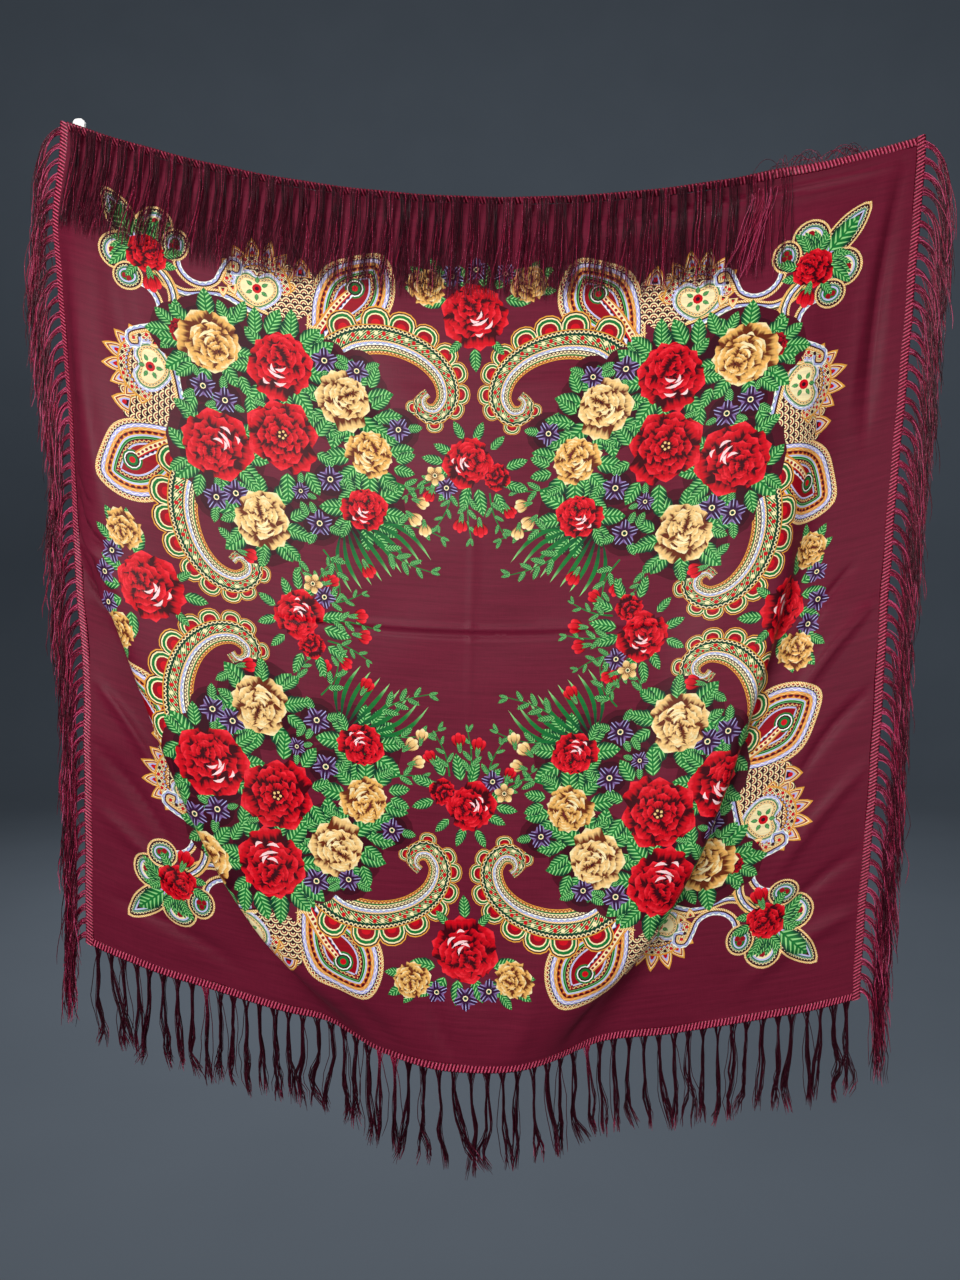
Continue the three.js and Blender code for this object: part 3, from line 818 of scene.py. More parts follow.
# Stalk and tip of each leaf, and of each bud
LEAVES = [
    (196 + 160j, 186 + 140j), (206 + 160j, 214 + 136j), (226 + 168j, 224 + 140j), (238 + 166j, 250 + 138j),
    (262 + 164j, 262 + 136j), (272 + 170j, 292 + 152j), (282 + 184j, 306 + 164j), (162 + 196j, 146 + 208j),
    (160 + 176j, 144 + 168j), (164 + 212j, 146 + 228j), (212 + 214j, 222 + 234j), (222 + 232j, 226 + 256j),
    (166 + 244j, 156 + 268j), (164 + 262j, 144 + 252j), (158 + 300j, 140 + 282j), (158 + 310j, 142 + 326j),
    (174 + 322j, 170 + 346j), (214 + 310j, 232 + 326j), (282 + 300j, 296 + 322j), (262 + 304j, 264 + 334j),
    (292 + 280j, 312 + 288j), (296 + 250j, 318 + 264j), (286 + 240j, 304 + 252j), (284 + 226j, 300 + 214j),
    (346 + 226j, 366 + 212j), (352 + 236j, 378 + 232j), (344 + 206j, 352 + 184j), (350 + 246j, 372 + 258j),
    (372 + 278j, 392 + 270j), (370 + 286j, 392 + 290j), (360 + 300j, 376 + 308j), (322 + 300j, 330 + 318j),
    (330 + 312j, 314 + 328j), (266 + 350j, 286 + 338j), (268 + 362j, 290 + 368j), (262 + 378j, 278 + 392j),
    (216 + 368j, 204 + 386j), (212 + 356j, 194 + 364j), (240 + 386j, 236 + 404j), (206 + 382j, 192 + 372j),
    (356 + 346j, 376 + 350j), (352 + 352j, 366 + 370j), (326 + 344j, 318 + 362j), (292 + 262j, 306 + 240j),
    (226 + 236j, 240 + 240j), (180 + 250j, 196 + 262j), (322 + 252j, 306 + 262j), (284 + 344j, 276 + 330j),
]
CREAM_BUDS = [(386 + 330j, 398 + 340j), (392 + 316j, 406 + 320j), (402 + 338j, 404 + 352j)]
RED_BUDS = [(300 + 398j, 306 + 412j), (342 + 384j, 350 + 398j), (216 + 392j, 232 + 396j)]
CORNER_LEAVES = [
    (110 + 96j, 96 + 78j), (116 + 96j, 124 + 76j), (98 + 108j, 80 + 96j), (124 + 118j, 144 + 118j),
    (104 + 124j, 92 + 140j), (118 + 128j, 126 + 146j), (128 + 108j, 148 + 100j),
]
SIDE_LEAVES = [
    (420 + 110j, 396 + 118j), (428 + 96j, 408 + 80j), (440 + 98j, 430 + 74j), (470 + 98j, 482 + 74j),
    (480 + 108j, 506 + 112j), (478 + 92j, 496 + 76j), (450 + 160j, 452 + 184j), (436 + 152j, 424 + 166j),
    (468 + 152j, 480 + 166j), (400 + 92j, 380 + 78j), (396 + 104j, 376 + 100j), (508 + 88j, 528 + 76j),
    (512 + 100j, 532 + 100j), (456 + 96j, 458 + 70j), (412 + 84j, 400 + 68j), (500 + 84j, 512 + 68j),
]
INNER_LEAVES = [
    (430 + 268j, 410 + 258j), (428 + 284j, 404 + 288j), (446 + 300j, 440 + 326j), (456 + 302j, 462 + 330j),
    (440 + 252j, 430 + 234j), (452 + 254j, 460 + 234j), (484 + 280j, 506 + 272j), (484 + 296j, 506 + 304j),
    (474 + 306j, 484 + 328j), (430 + 300j, 416 + 316j), (468 + 262j, 482 + 248j), (420 + 276j, 398 + 272j),
]
INNER_BUDS = [
    (440 + 330j, 438 + 346j), (458 + 334j, 460 + 350j), (410 + 304j, 404 + 316j), (484 + 318j, 492 + 330j),
]


def bouquet(pen):
    """The large bunch of roses in a quarter of the cloth, on a ground darkened by painted shade close to its
    flowers.
    """
    draw = np.random.default_rng(77)
    around = [(centre, size, 8, 22) for centre, _, size, _ in ROSES]
    around += [(centre, size, 3, 12) for centre, size in VIOLETS]
    # Painted shade: under each flower's leaves, a wide disc in the shade ink and a closer one in the dark ink
    for share, ink in ((0.85, "shade"), (0.35, "dark")):
        for centre, size, _, long in around:
            pen.disc(centre, size + long * share, ink, 14)
    for centre, size, count, long in around:
        for k in range(count):
            way = np.exp(2j * math.pi * (k + draw.uniform(-0.3, 0.3)) / count)
            leaf(pen, centre + way * size * 0.8, centre + way * (size + long * draw.uniform(0.7, 1.2)), 0.62)
    leaves(pen, LEAVES, 0.56)
    for k in range(9):
        start = 318 + 3.2 * k + 1j * (356 - 2.0 * k)
        end = 330 + 10 * k + 1j * (416 - 5 * k)
        stroke(pen, start, end, 9 - 2.6 * k, 2.2, GRASS, 8, "petal")
    spray(pen, 362 + 344j, 420 + 352j, -5, 6, 13)
    spray(pen, 350 + 358j, 410 + 388j, 5, 7, 14)
    spray(pen, 372 + 300j, 412 + 300j, 4, 5, 12)
    spray(pen, 300 + 376j, 318 + 418j, -5, 5, 13)
    spray(pen, 276 + 384j, 286 + 410j, 4, 4, 11)
    buds(pen, CREAM_BUDS, CREAM)
    buds(pen, RED_BUDS, RED)
    for centre, size in VIOLETS:
        daisy(pen.moved(centre, 37 * size), size)
    for centre, colours, size, seed in ROSES:
        rose(pen.moved(centre), colours, size, seed)
    peony(pen.moved(256 + 266j), RED, 38, 8)


def corner_flower(pen):
    leaves(pen, CORNER_LEAVES, 0.5)
    rose(pen.moved(112 + 110j), RED, 20, 31, highlights=False)
    buds(pen, [(116 + 128j, 122 + 148j)], RED)


def side_cluster(pen):
    """The flowers at the middle of an edge."""
    leaves(pen, SIDE_LEAVES, 0.5)
    daisy(pen.moved(424 + 86j, 20), 12)
    daisy(pen.moved(448 + 78j, 50), 12)
    daisy(pen.moved(478 + 82j, 10), 11)
    rose(pen.moved(398 + 98j), AMBER, 19, 41, highlights=False)
    rose(pen.moved(504 + 94j), AMBER, 19, 42, highlights=False)
    rose(pen.moved(451 + 124j), RED, 33, 43)


def inner_cluster(pen):
    """The small bunch that points at the middle of the cloth."""
    leaves(pen, INNER_LEAVES, 0.46)
    spray(pen, 448 + 300j, 450 + 352j, 3, 6, 12)
    spray(pen, 430 + 300j, 416 + 340j, -3, 5, 10)
    spray(pen, 468 + 306j, 482 + 346j, 3, 5, 10)
    spray(pen, 424 + 290j, 384 + 312j, 3, 5, 10)
    buds(pen, INNER_BUDS, RED)
    daisy(pen.moved(424 + 302j, 15), 11)
    daisy(pen.moved(412 + 290j, 15), 10, CREAM)
    rose(pen.moved(475 + 290j), RED, 14, 52, highlights=False)
    rose(pen.moved(446 + 276j), RED, 24, 51)


# Ways to place what is drawn for the top left quarter or the top side

def swap(z):
    return z.imag + 1j * z.real


def mirror_across(z):
    return SIDE - z.real + 1j * z.imag


def mirror_down(z):
    return z.real + 1j * (SIDE - z.imag)


def half_turn(z):
    return SIDE - z.real + 1j * (SIDE - z.imag)


def draw_print():
    """The four quarters as mirrors of the top left one, and the four sides as turns of the top one."""
    pen = Pen(Picture([], [], [], []))
    for quarter in (pen, pen.placed(mirror_across), pen.placed(mirror_down), pen.placed(half_turn)):
        for way in (quarter, quarter.placed(swap)):
            for ornament in (teardrop, heart, serpent, scroll):
                ornament(way)
        corner(quarter)
        corner_flower(quarter)
        bouquet(quarter)
    for side in (pen, pen.placed(swap), pen.placed(half_turn), pen.placed(half_turn).placed(swap)):
        side_cluster(side)
        inner_cluster(side)
    return pen.picture


# Meshes

def make_mesh(name, points, faces, normals=None):
    """A mesh from arrays of points in metres and of faces that all have the same number of corners."""
    faces = np.asarray(faces, np.int32)
    mesh = bpy.data.meshes.new(name)
    mesh.vertices.add(len(points))
    mesh.vertices.foreach_set("co", np.asarray(points, np.float32).ravel())
    mesh.loops.add(faces.size)
    mesh.loops.foreach_set("vertex_index", faces.ravel())
    mesh.polygons.add(len(faces))
    mesh.polygons.foreach_set("loop_start", np.arange(0, faces.size, faces.shape[1], dtype=np.int32))
    mesh.update(calc_edges=True)
    mesh.shade_smooth()
    if normals is not None:
        mesh.normals_split_custom_set_from_vertices(normals.tolist())
    piece = bpy.data.objects.new(name, mesh)
    bpy.context.scene.collection.objects.link(piece)
    return piece


def set_attribute(piece, name, domain, values):
    attribute = piece.data.attributes.new(name, "FLOAT_VECTOR", domain)
    attribute.data.foreach_set("vector", np.asarray(values, np.float32).ravel())


# The even grid over the cloth and the room that it leaves round the print, and what counts as one place
GRID_STEP = 7.0
CLEAR = 3.2
MERGED = 0.3
# Creases up to this half width get rows of points of their own, at these shares of it to each side
NARROW = 7.0
CREASE_STEP = 6.5
CREASE_ROWS = (-1.4, -0.7, 0.0, 0.7, 1.4)
APART = 1.6
EDGE_ROOM = 2.0
SMALLEST_AREA = 1e-5


def tree_of(places):
    tree = kdtree.KDTree(len(places))
    for i, z in enumerate(places):
        tree.insert((z.real, z.imag, 0), i)
    tree.balance()
    return tree


def crease_places(tree):
    """Rows of points along the narrow creases, which the even grid is too coarse for."""
    kept = []
    low = CLOTH_EDGE + EDGE_ROOM
    high = SIDE - low
    for a, b, half, _, bow in CREASES:
        if half > NARROW:
            continue
        way = (b - a) / abs(b - a)
        t = np.linspace(0, 1, int(abs(b - a) / CREASE_STEP))
        line = a + (b - a) * t + 1j * way * bow * np.sin(np.pi * t)
        for row in CREASE_ROWS:
            for z in line + 1j * way * half * row:
                inside = min(z.real, z.imag) > low and max(z.real, z.imag) < high
                clear = inside and tree.find((z.real, z.imag, 0))[2] > APART
                if clear and all(abs(z - other) > APART for other in kept):
                    kept.append(z)
    return kept


def cloth_grid(drawn):
    """Points that carry the drape wherever the print has none close by."""
    count = round((SIDE - 2 * CLOTH_EDGE) / GRID_STEP)
    places = np.linspace(CLOTH_EDGE, SIDE - CLOTH_EDGE, count + 1)
    kept = crease_places(tree_of(drawn))
    tree = tree_of([*drawn, *kept])
    for r, down in enumerate(places):
        for c, across in enumerate(places):
            edge = r in (0, count) or c in (0, count)
            if edge or tree.find((across, down, 0))[2] > CLEAR:
                kept.append(complex(across, down))
    return kept


def topmost(picture, drawn, centres, numbers):
    """The number of the last printed face over each point, or -1 where the cloth is plain."""
    order = np.argsort(centres.imag)
    x, y = centres.real[order], centres.imag[order]
    owner = np.full(len(centres), -1)
    for number in numbers:
        outline = drawn[picture.faces[number]]
        ax, ay = outline.real, outline.imag
        low, high = np.searchsorted(y, [ay.min(), ay.max()])
        near = low + np.flatnonzero((x[low:high] >= ax.min()) & (x[low:high] <= ax.max()))
        if len(near) == 0:
            continue
        px, py = x[near][:, None], y[near][:, None]
        bx, by = np.roll(ax, -1), np.roll(ay, -1)
        level = (ay > py) != (by > py)
        rise = np.where(by == ay, 1, by - ay)
        crossed = level & (px < ax + (py - ay) * (bx - ax) / rise)
        owner[order[near[crossed.sum(1) % 2 == 1]]] = number
    return owner


def in_sight(picture, drawn):
    """Numbers of the faces that later ones don't cover all over."""
    samples, owners = [], []
    for number, face in enumerate(picture.faces):
        outline = drawn[face]
        middle = outline.mean()
        samples += [middle, *(outline + (middle - outline) * 0.12)]
        owners += [number] * (len(face) + 1)
    owners = np.array(owners)
    top = topmost(picture, drawn, np.array(samples), range(len(picture.faces)))
    return np.unique(owners[top <= owners])


def cloth_faces():
    """The flat cloth cut along every printed outline: places, triangles, and each corner's pattern."""
    picture = draw_print()
    drawn = np.asarray(picture.places)
    shown = in_sight(picture, drawn)
    used = sorted({corner for number in shown for corner in picture.faces[number]})
    place_of = {corner: i for i, corner in enumerate(used)}
    outlines = [[place_of[corner] for corner in picture.faces[number]] for number in shown]
    edges = [pair for face in outlines for pair in zip(face, face[1:] + face[:1])]
    flat = [Vector((z.real, z.imag)) for z in [*drawn[used], *cloth_grid(drawn[used])]]
    cut = delaunay_2d_cdt(flat, edges, [], 0, MERGED, False)
    places = np.array([(v.x, v.y) for v in cut[0]])
    triangles = np.array(cut[2], np.int32)
    centres = places[triangles].mean(1)
    top = topmost(picture, drawn, centres[:, 0] + 1j * centres[:, 1], shown)
    a, b, c = (places[triangles[:, k]] for k in range(3))
    area = 0.5 * ((b - a)[:, 0] * (c - a)[:, 1] - (b - a)[:, 1] * (c - a)[:, 0])
    solid = abs(area) > SMALLEST_AREA
    triangles, top, area = triangles[solid], top[solid], area[solid]
    triangles[area < 0] = triangles[area < 0][:, ::-1]
    printed = top >= 0
    marks = np.array(picture.marks, float)[top[printed]]
    corners = np.concatenate([places[triangles[printed]], np.ones((printed.sum(), 3, 1))], -1)
    pattern = np.zeros((len(triangles), 3, 3))
    pattern[printed, :, :2] = corners @ np.array(picture.maps)[top[printed]]
    pattern[printed, :, 2] = marks[:, 1, None]
    inks = np.zeros((len(triangles), 3, 3))
    inks[printed] = marks[:, None, 2:]
    kinds = np.zeros(len(triangles), np.int32)
    kinds[printed] = marks[:, 0]
    return places, triangles, kinds, pattern, (inks + 0.5) / len(INK_NAMES)


def cloth_piece(name, towards_room, materials, flat):
    """One skin of the cloth, half the gap from the drape on its side."""
    places, triangles, kinds, pattern, inks = flat
    across, down = places.T
    sign = 1 if towards_room else -1
    points = cloth.points(across, down, sign * CLOTH_GAP / 2)
    normals = cloth.normals(across, down) * sign
    turned = slice(None, None, -1) if towards_room else slice(None)
    piece = make_mesh(name, points * MM, triangles[:, turned], normals)
    set_attribute(piece, "pattern", "CORNER", pattern[:, turned])
    set_attribute(piece, "inks", "CORNER", inks[:, turned])
    layer = piece.data.uv_layers.new(name="OFBake")
    uv = np.stack([across, SIDE - down], -1)[triangles[:, turned]] / SIDE
    layer.data.foreach_set("uv", (0.002 + 0.996 * uv).astype(np.float32).ravel())
    for material in materials:
        piece.data.materials.append(material)
    piece.data.polygons.foreach_set("material_index", kinds)
    return piece


# Materials

class Value:
    """A socket of a material's nodes, so that a pattern is written as arithmetic."""

    def __init__(self, shader, socket):
        self.shader = shader
        self.socket = socket

    def __add__(self, other):
        return self.shader.math("ADD", self, other)

    def __sub__(self, other):
        return self.shader.math("SUBTRACT", self, other)

    def __rsub__(self, other):
        return self.shader.math("SUBTRACT", other, self)

    def __mul__(self, other):
        return self.shader.math("MULTIPLY", self, other)

    def __pow__(self, other):
        return self.shader.math("POWER", self, other)

    def __abs__(self):
        return self.shader.math("ABSOLUTE", self)

    def __gt__(self, other):
        return self.shader.math("GREATER_THAN", self, other)

    def sine(self):
        return self.shader.math("SINE", self)

    def floor(self):
        return self.shader.math("FLOOR", self)

    def fraction(self):
        return self.shader.math("FRACT", self)

    def step(self, low, high):
        """0 on low's side, 1 on high's side, smooth between."""
        made = self.shader.node("ShaderNodeMapRange", interpolation_type="SMOOTHSTEP")
        for name, value in (("Value", self), ("From Min", low), ("From Max", high)):
            self.shader.put(made.inputs[name], value)
        return Value(self.shader, made.outputs[0])


class Shader:
    """A few short ways to add nodes to a material."""

    def __init__(self, name):
        self.material = bpy.data.materials.new(name)
        self.material.use_nodes = True
        self.tree = self.material.node_tree
        self.bsdf = self.tree.nodes["Principled BSDF"]

    def node(self, kind, inputs=(), **settings):
        made = self.tree.nodes.new(kind)
        for key, value in settings.items():
            setattr(made, key, value)
        for key, value in dict(inputs).items():
            self.put(made.inputs[key], value)
        return made

    def put(self, socket, value):
        if isinstance(value, Value):
            self.tree.links.new(value.socket, socket)
        else:
            socket.default_value = value

    def math(self, operation, *values):
        made = self.node("ShaderNodeMath", dict(enumerate(values)), operation=operation)
        return Value(self, made.outputs[0])

    def mix(self, factor, a, b, blend="MIX"):
        made = self.node("ShaderNodeMix", {0: factor, 6: a, 7: b}, data_type="RGBA", blend_type=blend)
        return Value(self, made.outputs[2])

    def ramp(self, value, stops, interpolation="LINEAR"):
        """A colour ramp through (position, sRGB colour) stops."""
        made = self.node("ShaderNodeValToRGB", {"Fac": value})
        made.color_ramp.interpolation = interpolation
        elements = made.color_ramp.elements
        while len(elements) < len(stops):
            elements.new(1.0)
        for i, (position, colour) in enumerate(stops):
            elements[i].position = position
            elements[i].color = linear(colour)
        return Value(self, made.outputs[0])

    def attribute(self, name):
        made = self.node("ShaderNodeAttribute", attribute_name=name)
        parts = self.node("ShaderNodeSeparateXYZ", {"Vector": Value(self, made.outputs["Vector"])})
        return [Value(self, output) for output in parts.outputs]

    def inks(self):
        """The three inks of a printed face, as colours."""
        stops = [(i / len(INKS), colour) for i, colour in enumerate(INKS.values())]
        return [self.ramp(number, stops, "CONSTANT") for number in self.attribute("inks")]

    def noise(self, vector, scale, detail=2.0, stretch=(1, 1, 1)):
        mapped = self.node("ShaderNodeMapping", {"Vector": vector, "Scale": stretch})
        places = Value(self, mapped.outputs[0])
        made = self.node("ShaderNodeTexNoise", {"Vector": places, "Scale": scale, "Detail": detail})
        return Value(self, made.outputs["Fac"])

    def place(self):
        return Value(self, self.node("ShaderNodeTexCoord").outputs["Object"])

    def finish(self, colour, roughness, constants=(), bump=None, distance=0.0002, strength=0.5):
        self.put(self.bsdf.inputs["Base Color"], colour)
        self.put(self.bsdf.inputs["Roughness"], roughness)
        for name, value in dict(constants).items():
            self.bsdf.inputs[name].default_value = value
        if bump is not None:
            made = self.node("ShaderNodeBump", {"Height": bump, "Distance": distance, "Strength": strength})
            self.put(self.bsdf.inputs["Normal"], Value(self, made.outputs[0]))
        return self.material


def fabric(shader, colour, faded):
    """Finishes a print colour as thin satin: thread lines, slubs, sheen, and a paler back where faded."""
    uv = Value(shader, shader.node("ShaderNodeUVMap", uv_map="OFBake").outputs[0])
    threads = shader.noise(uv, 1.0, 2.0, (70, 900, 1))
    slubs = shader.noise(uv, 1.0, 2.0, (800, 60, 1))
    thick = shader.noise(uv, 1.0, 3.0, (10, 240, 1))
    cloudy = shader.noise(uv, 9.0, 3.0)
    shade = threads * 0.34 + slubs * 0.20 + cloudy * 0.14 + thick * 0.60 + 0.37
    grey = shader.node("ShaderNodeCombineColor", {0: shade, 1: shade, 2: shade}).outputs[0]
    final = shader.mix(1.0, colour, Value(shader, grey), "MULTIPLY")
    if faded:
        final = shader.mix(0.52, final, linear((122, 60, 74)))
    satin = {
        "Anisotropic": 0.35,
        "Sheen Weight": 0.03,
        "Sheen Roughness": 0.35,
        "Sheen Tint": linear((255, 120, 140)),
        "Specular IOR Level": 0.11,
    }
    return shader.finish(final, slubs * 0.16 + 0.40, satin, threads + slubs, 0.00012)


def printed(name, faded):
    return Shader(f"printed_{name}_reverse" if faded else f"printed_{name}")


def ground_material(faded):
    shader = printed("ground", faded)
    return fabric(shader, linear(INKS["ground"]), faded)


def petal_material(faded):
    """Brushed petals: dark at the heart, light at the rim, with drawn streaks between."""
    shader = printed("petals", faded)
    along, across, style = shader.attribute("pattern")
    dark, body, light = shader.inks()
    wide = abs(across)
    fan = across * 15.0 + style * 17.0
    streak = fan.sine() + (fan * 2.3).sine() * 0.5
    pull = (1.0 - along) * 0.13 + 0.03
    shaded = streak * pull + along - wide**6.0 * 0.80
    colour = shader.mix(shaded.step(0.05, 0.62), dark, body)
    colour = shader.mix(shaded.step(0.70, 1.00) * 0.85, colour, light)
    few = abs(shader.math("COSINE", across * 4.7))
    striped = shader.mix(few.step(0.84, 1.0) * along.step(0.25, 0.6), dark, light)
    striped = shader.mix(wide.step(0.45, 0.8) * 0.8, striped, body)
    return fabric(shader, shader.mix(style > 1.5, colour, striped), faded)


def leaf_material(faded):
    """Leaves with light strokes between dark veins."""
    shader = printed("leaves", faded)
    along, across, _ = shader.attribute("pattern")
    dark, body, light = shader.inks()
    wide = abs(across)
    slant = along * 6.5 - wide * 1.6
    wave = (slant * (2 * math.pi)).sine()
    limit = wide * 1.1 - 0.15
    midrib = wide.step(0.05, 0.13)
    strokes = (wave - limit).step(0.0, 0.35) * midrib
    base = shader.mix(wide.step(0.95, 0.35), dark, body)
    return fabric(shader, shader.mix(strokes * 0.80, base, light), faded)


def band_material(faded):
    """Ornament bands: u runs along in repeats and v across, and the style picks what repeats."""
    shader = printed("bands", faded)
    mix = shader.mix
    u, v, style = shader.attribute("pattern")
    first, second, third = shader.inks()
    half_u = u.fraction() - 0.5
    half_v = v - 0.5

    def reach(a, b):
        return shader.math("SQRT", a * a + b * b)

    plain = mix(abs(half_v).step(0.30, 0.42), first, third)
    dots = mix(reach(half_u, half_v).step(0.36, 0.26), first, second)
    arch = reach(half_u, v * 0.62)
    scallop = mix(arch.step(0.54, 0.46), third, first)
    scallop = mix(arch.step(0.36, 0.28), scallop, second)
    rope = mix((u + v).fraction().step(0.45, 0.6), first, second)
    crest = (u * (2 * math.pi)).sine() * 0.22 + half_v
    wave = mix(crest.step(-0.06, 0.06), first, second)
    wave = mix(abs(crest).step(0.16, 0.08), wave, third)
    bloom = mix((u.floor() * 0.5).fraction() > 0.25, second, third)
    low = reach(half_u, v - 0.32)
    high = reach((u + 0.5).fraction() - 0.5, v - 0.76)
    mottle = ((u + v * 1.7) * 13.0).sine()
    flowers = mix(mottle.step(0.35, 0.75), first, third)
    flowers = mix(low.step(0.30, 0.22), flowers, bloom)
    flowers = mix(high.step(0.22, 0.15), flowers, second)
    rows = v * 1.6
    local_u = (u + rows.floor() * 0.5).fraction() - 0.5
    far = reach(local_u, rows.fraction() * -0.62 + 0.62)
    scales = mix(far.step(0.54, 0.48), third, second)
    for limit, ink in ((0.40, first), (0.26, second), (0.14, third)):
        scales = mix(far.step(limit, limit - 0.05), scales, ink)
    colour = plain
    for number, look in enumerate((dots, scallop, rope, wave, flowers, scales), 1):
        colour = mix(shader.math("COMPARE", style, float(number), 0.5), colour, look)
    return fabric(shader, colour, faded)


def thread_material():
    """Lustrous fringe thread: its own tone each, partly random, partly painted shade and glint, and flecks of
    painted glint where it is light.
    """
    shader = Shader("fringe_thread")
    tone, glint, _ = shader.attribute("thread")
    # The pink top of the ramp stands for a painted glint
    stops = [(0.0, (34, 6, 16)), (0.30, (86, 10, 32)), (0.62, (164, 26, 66)), (1.0, (226, 96, 140))]
    flecks = shader.noise(shader.place(), 900.0)
    # Painted glints: pink flecks wherever the noise is high, as strong as the thread's glint value
    painted_glints = flecks.step(0.56, 0.72) * glint
    colour = shader.mix(painted_glints, shader.ramp(tone, stops), linear((236, 120, 160)))
    lustre = {"Specular IOR Level": 0.3, "Anisotropic": 0.5}
    return shader.finish(colour, 0.34, lustre, flecks, 0.0001, 0.3)


def braid_material():
    """Gimp: shiny crimson ribs over dark grooves, the dark painted shade and the pink rib tops a painted
    highlight.
    """
    shader = Shader("gimp_braid")
    height, _, _ = shader.attribute("thread")
    # Painted shade at the low end of the ramp, for the grooves, and a pink painted highlight at its high end,
    # for the rib crests
    stops = [(0.0, (16, 0, 6)), (0.60, (124, 10, 42)), (1.0, (240, 104, 136))]
    threads = shader.noise(shader.place(), 1400.0)
    colour = shader.mix(threads.step(0.4, 0.8) * 0.35, shader.ramp(height, stops), linear((100, 10, 34)))
    lustre = {"Specular IOR Level": 0.22, "Anisotropic": 0.4}
    return shader.finish(colour, 0.34, lustre, threads, 0.00015)


def hook_material():
    shader = Shader("hook_plastic")
    cloudy = shader.noise(shader.place(), 60.0, 3.0)
    colour = shader.mix(cloudy, linear((236, 236, 230)), linear((250, 250, 246)))
    return shader.finish(colour, cloudy * 0.12 + 0.26, (), cloudy, strength=0.15)


# Braid

RIB_PITCH = 3.7
STEPS_A_RIB = 5
RIB_SLANT = 0.08
FRONT_ROWS = 9
BACK_ROWS = 5
INNER_EDGE = -0.6
OUTSIDE_CORNER = 3.0


def braid_frame(side, along):
    """Seam, outward way and face of one side's braid at distances along it, as in the part."""
    along = np.asarray(along, float)
    near = np.full_like(along, BRAID_WIDTH)
    places = {
        "top": (along, near),
        "bottom": (along, SIDE - near),
        "left": (near, along),
        "right": (SIDE - near, along),
    }[side]
    across, down = (np.clip(place, OUTSIDE_CORNER, SIDE - OUTSIDE_CORNER) for place in places)

    def read(a, d):
        return cloth.read(cloth.plain, a, d)

    way = unit(read(across + 3, down) - read(across - 3, down))
    fall = unit(read(across, down + 3) - read(across, down - 3))
    face = unit(cloth.read(cloth.plain_out, across, down))
    outwards = {"top": -fall, "bottom": fall, "left": -way, "right": way}[side]
    seam = read(*places)
    if side == "top":
        roll = np.radians(column(TOP_ROLL, "roll", along))[:, None]
        seam = seam + outwards * (BRAID_THICKNESS / 2) * abs(np.sin(roll))
        outwards, face = (v * np.cos(roll) + np.cross(way, v) * np.sin(roll) for v in (outwards, face))
    return seam, outwards, face


def braid(side, material):
    """A gimp braid: two columns of shiny crosswise ribs with a groove between."""
    first, last = (0.0, SIDE) if side in ("left", "right") else (CLOTH_EDGE, SIDE - CLOTH_EDGE)
    along = np.linspace(first, last, int((last - first) / RIB_PITCH * STEPS_A_RIB))
    seam, outwards, face = braid_frame(side, along)
    there = np.linspace(INNER_EDGE, BRAID_WIDTH, FRONT_ROWS)
    out = np.concatenate([there, np.linspace(BRAID_WIDTH, INNER_EDGE, BACK_ROWS)[1:-1]])
    front = np.arange(len(out)) < FRONT_ROWS
    place = np.clip((out - INNER_EDGE) / (BRAID_WIDTH - INNER_EDGE), 0, 1)
    groove = 0.25 * np.exp(-(((place - 0.5) / 0.1) ** 2))
    dome = np.sqrt(np.maximum(1 - (2 * place - 1) ** 2, 0)) * (1 - groove)
    rib = abs(np.sin(np.pi * (along[:, None] / RIB_PITCH + RIB_SLANT * out))) ** 1.1
    wobble = 0.3 * np.sin(along / 13.0)[:, None] + (place - 0.5) * (rib - 0.5) * 1.2
    height = np.where(front, 0.1 + 1.2 * dome * (0.15 + 0.85 * rib), -0.7 - 0.3 * rib * dome)
    points = seam[:, None] + outwards[:, None] * (out + wobble)[..., None] + face[:, None] * height[..., None]
    index = np.arange(points[..., 0].size).reshape(rib.shape)
    after = np.roll(index, -1, axis=1)
    faces = np.stack([index[:-1], after[:-1], after[1:], index[1:]], -1).reshape(-1, 4)
    if side in ("bottom", "left"):
        faces = faces[:, ::-1]
    piece = make_mesh(f"braid_{side}", points.reshape(-1, 3) * MM, faces)
    # Painted shade and highlight: the tone is low between the ribs, at the edges and in the middle groove and
    # highest on the rib crests, with a little random tone; the back rows are dimmed as painted shade
    tone = np.clip(rib**1.3 * (0.50 + 0.55 * dome) + rng.uniform(-0.10, 0.10, rib.shape), 0, 1)
    tone = np.where(front, tone, tone * 0.7)
    set_attribute(piece, "thread", "POINT", np.stack([tone, tone * 0, tone * 0], -1))
    piece.data.materials.append(material)
    return piece


# Fringe

# Locks of each side: how many, how far the end ones are from the corners, then for each lock its
# threads, half its width at the braid, its length, and how thick its threads are drawn
Locks = namedtuple("Locks", "count end threads half long thickness")
LOCKS = {
    "top": Locks(50, 20, 34, 6.6, 94, 0.8),
    "bottom": Locks(54, 16, 21, 4.5, 100, 1.3),
    "left": Locks(56, 10, 24, 3.8, 104, 1.12),
    "right": Locks(56, 10, 24, 3.8, 104, 1.12),
}
ROOT_OUT = BRAID_WIDTH - 1.0
CORNER_ROOM = 2
BARE_TOP_END = 34
BOTTOM_STRANDS = 3
LIGHT_BOTTOM_LOCKS = (8, 21, 22, 35)
THREAD_RADIUS = 0.36
TUBE_SIDES = 3
THIN_TIP = 0.4
GLINT = 1.6
ANY_WAY = [0.31, 1.0, 0.17]
LOOSE_THREADS = 46
BRIGHT_THREADS = 18


def lock_places(side):
    locks = LOCKS[side]
    return np.linspace(locks.end, SIDE - locks.end, locks.count)


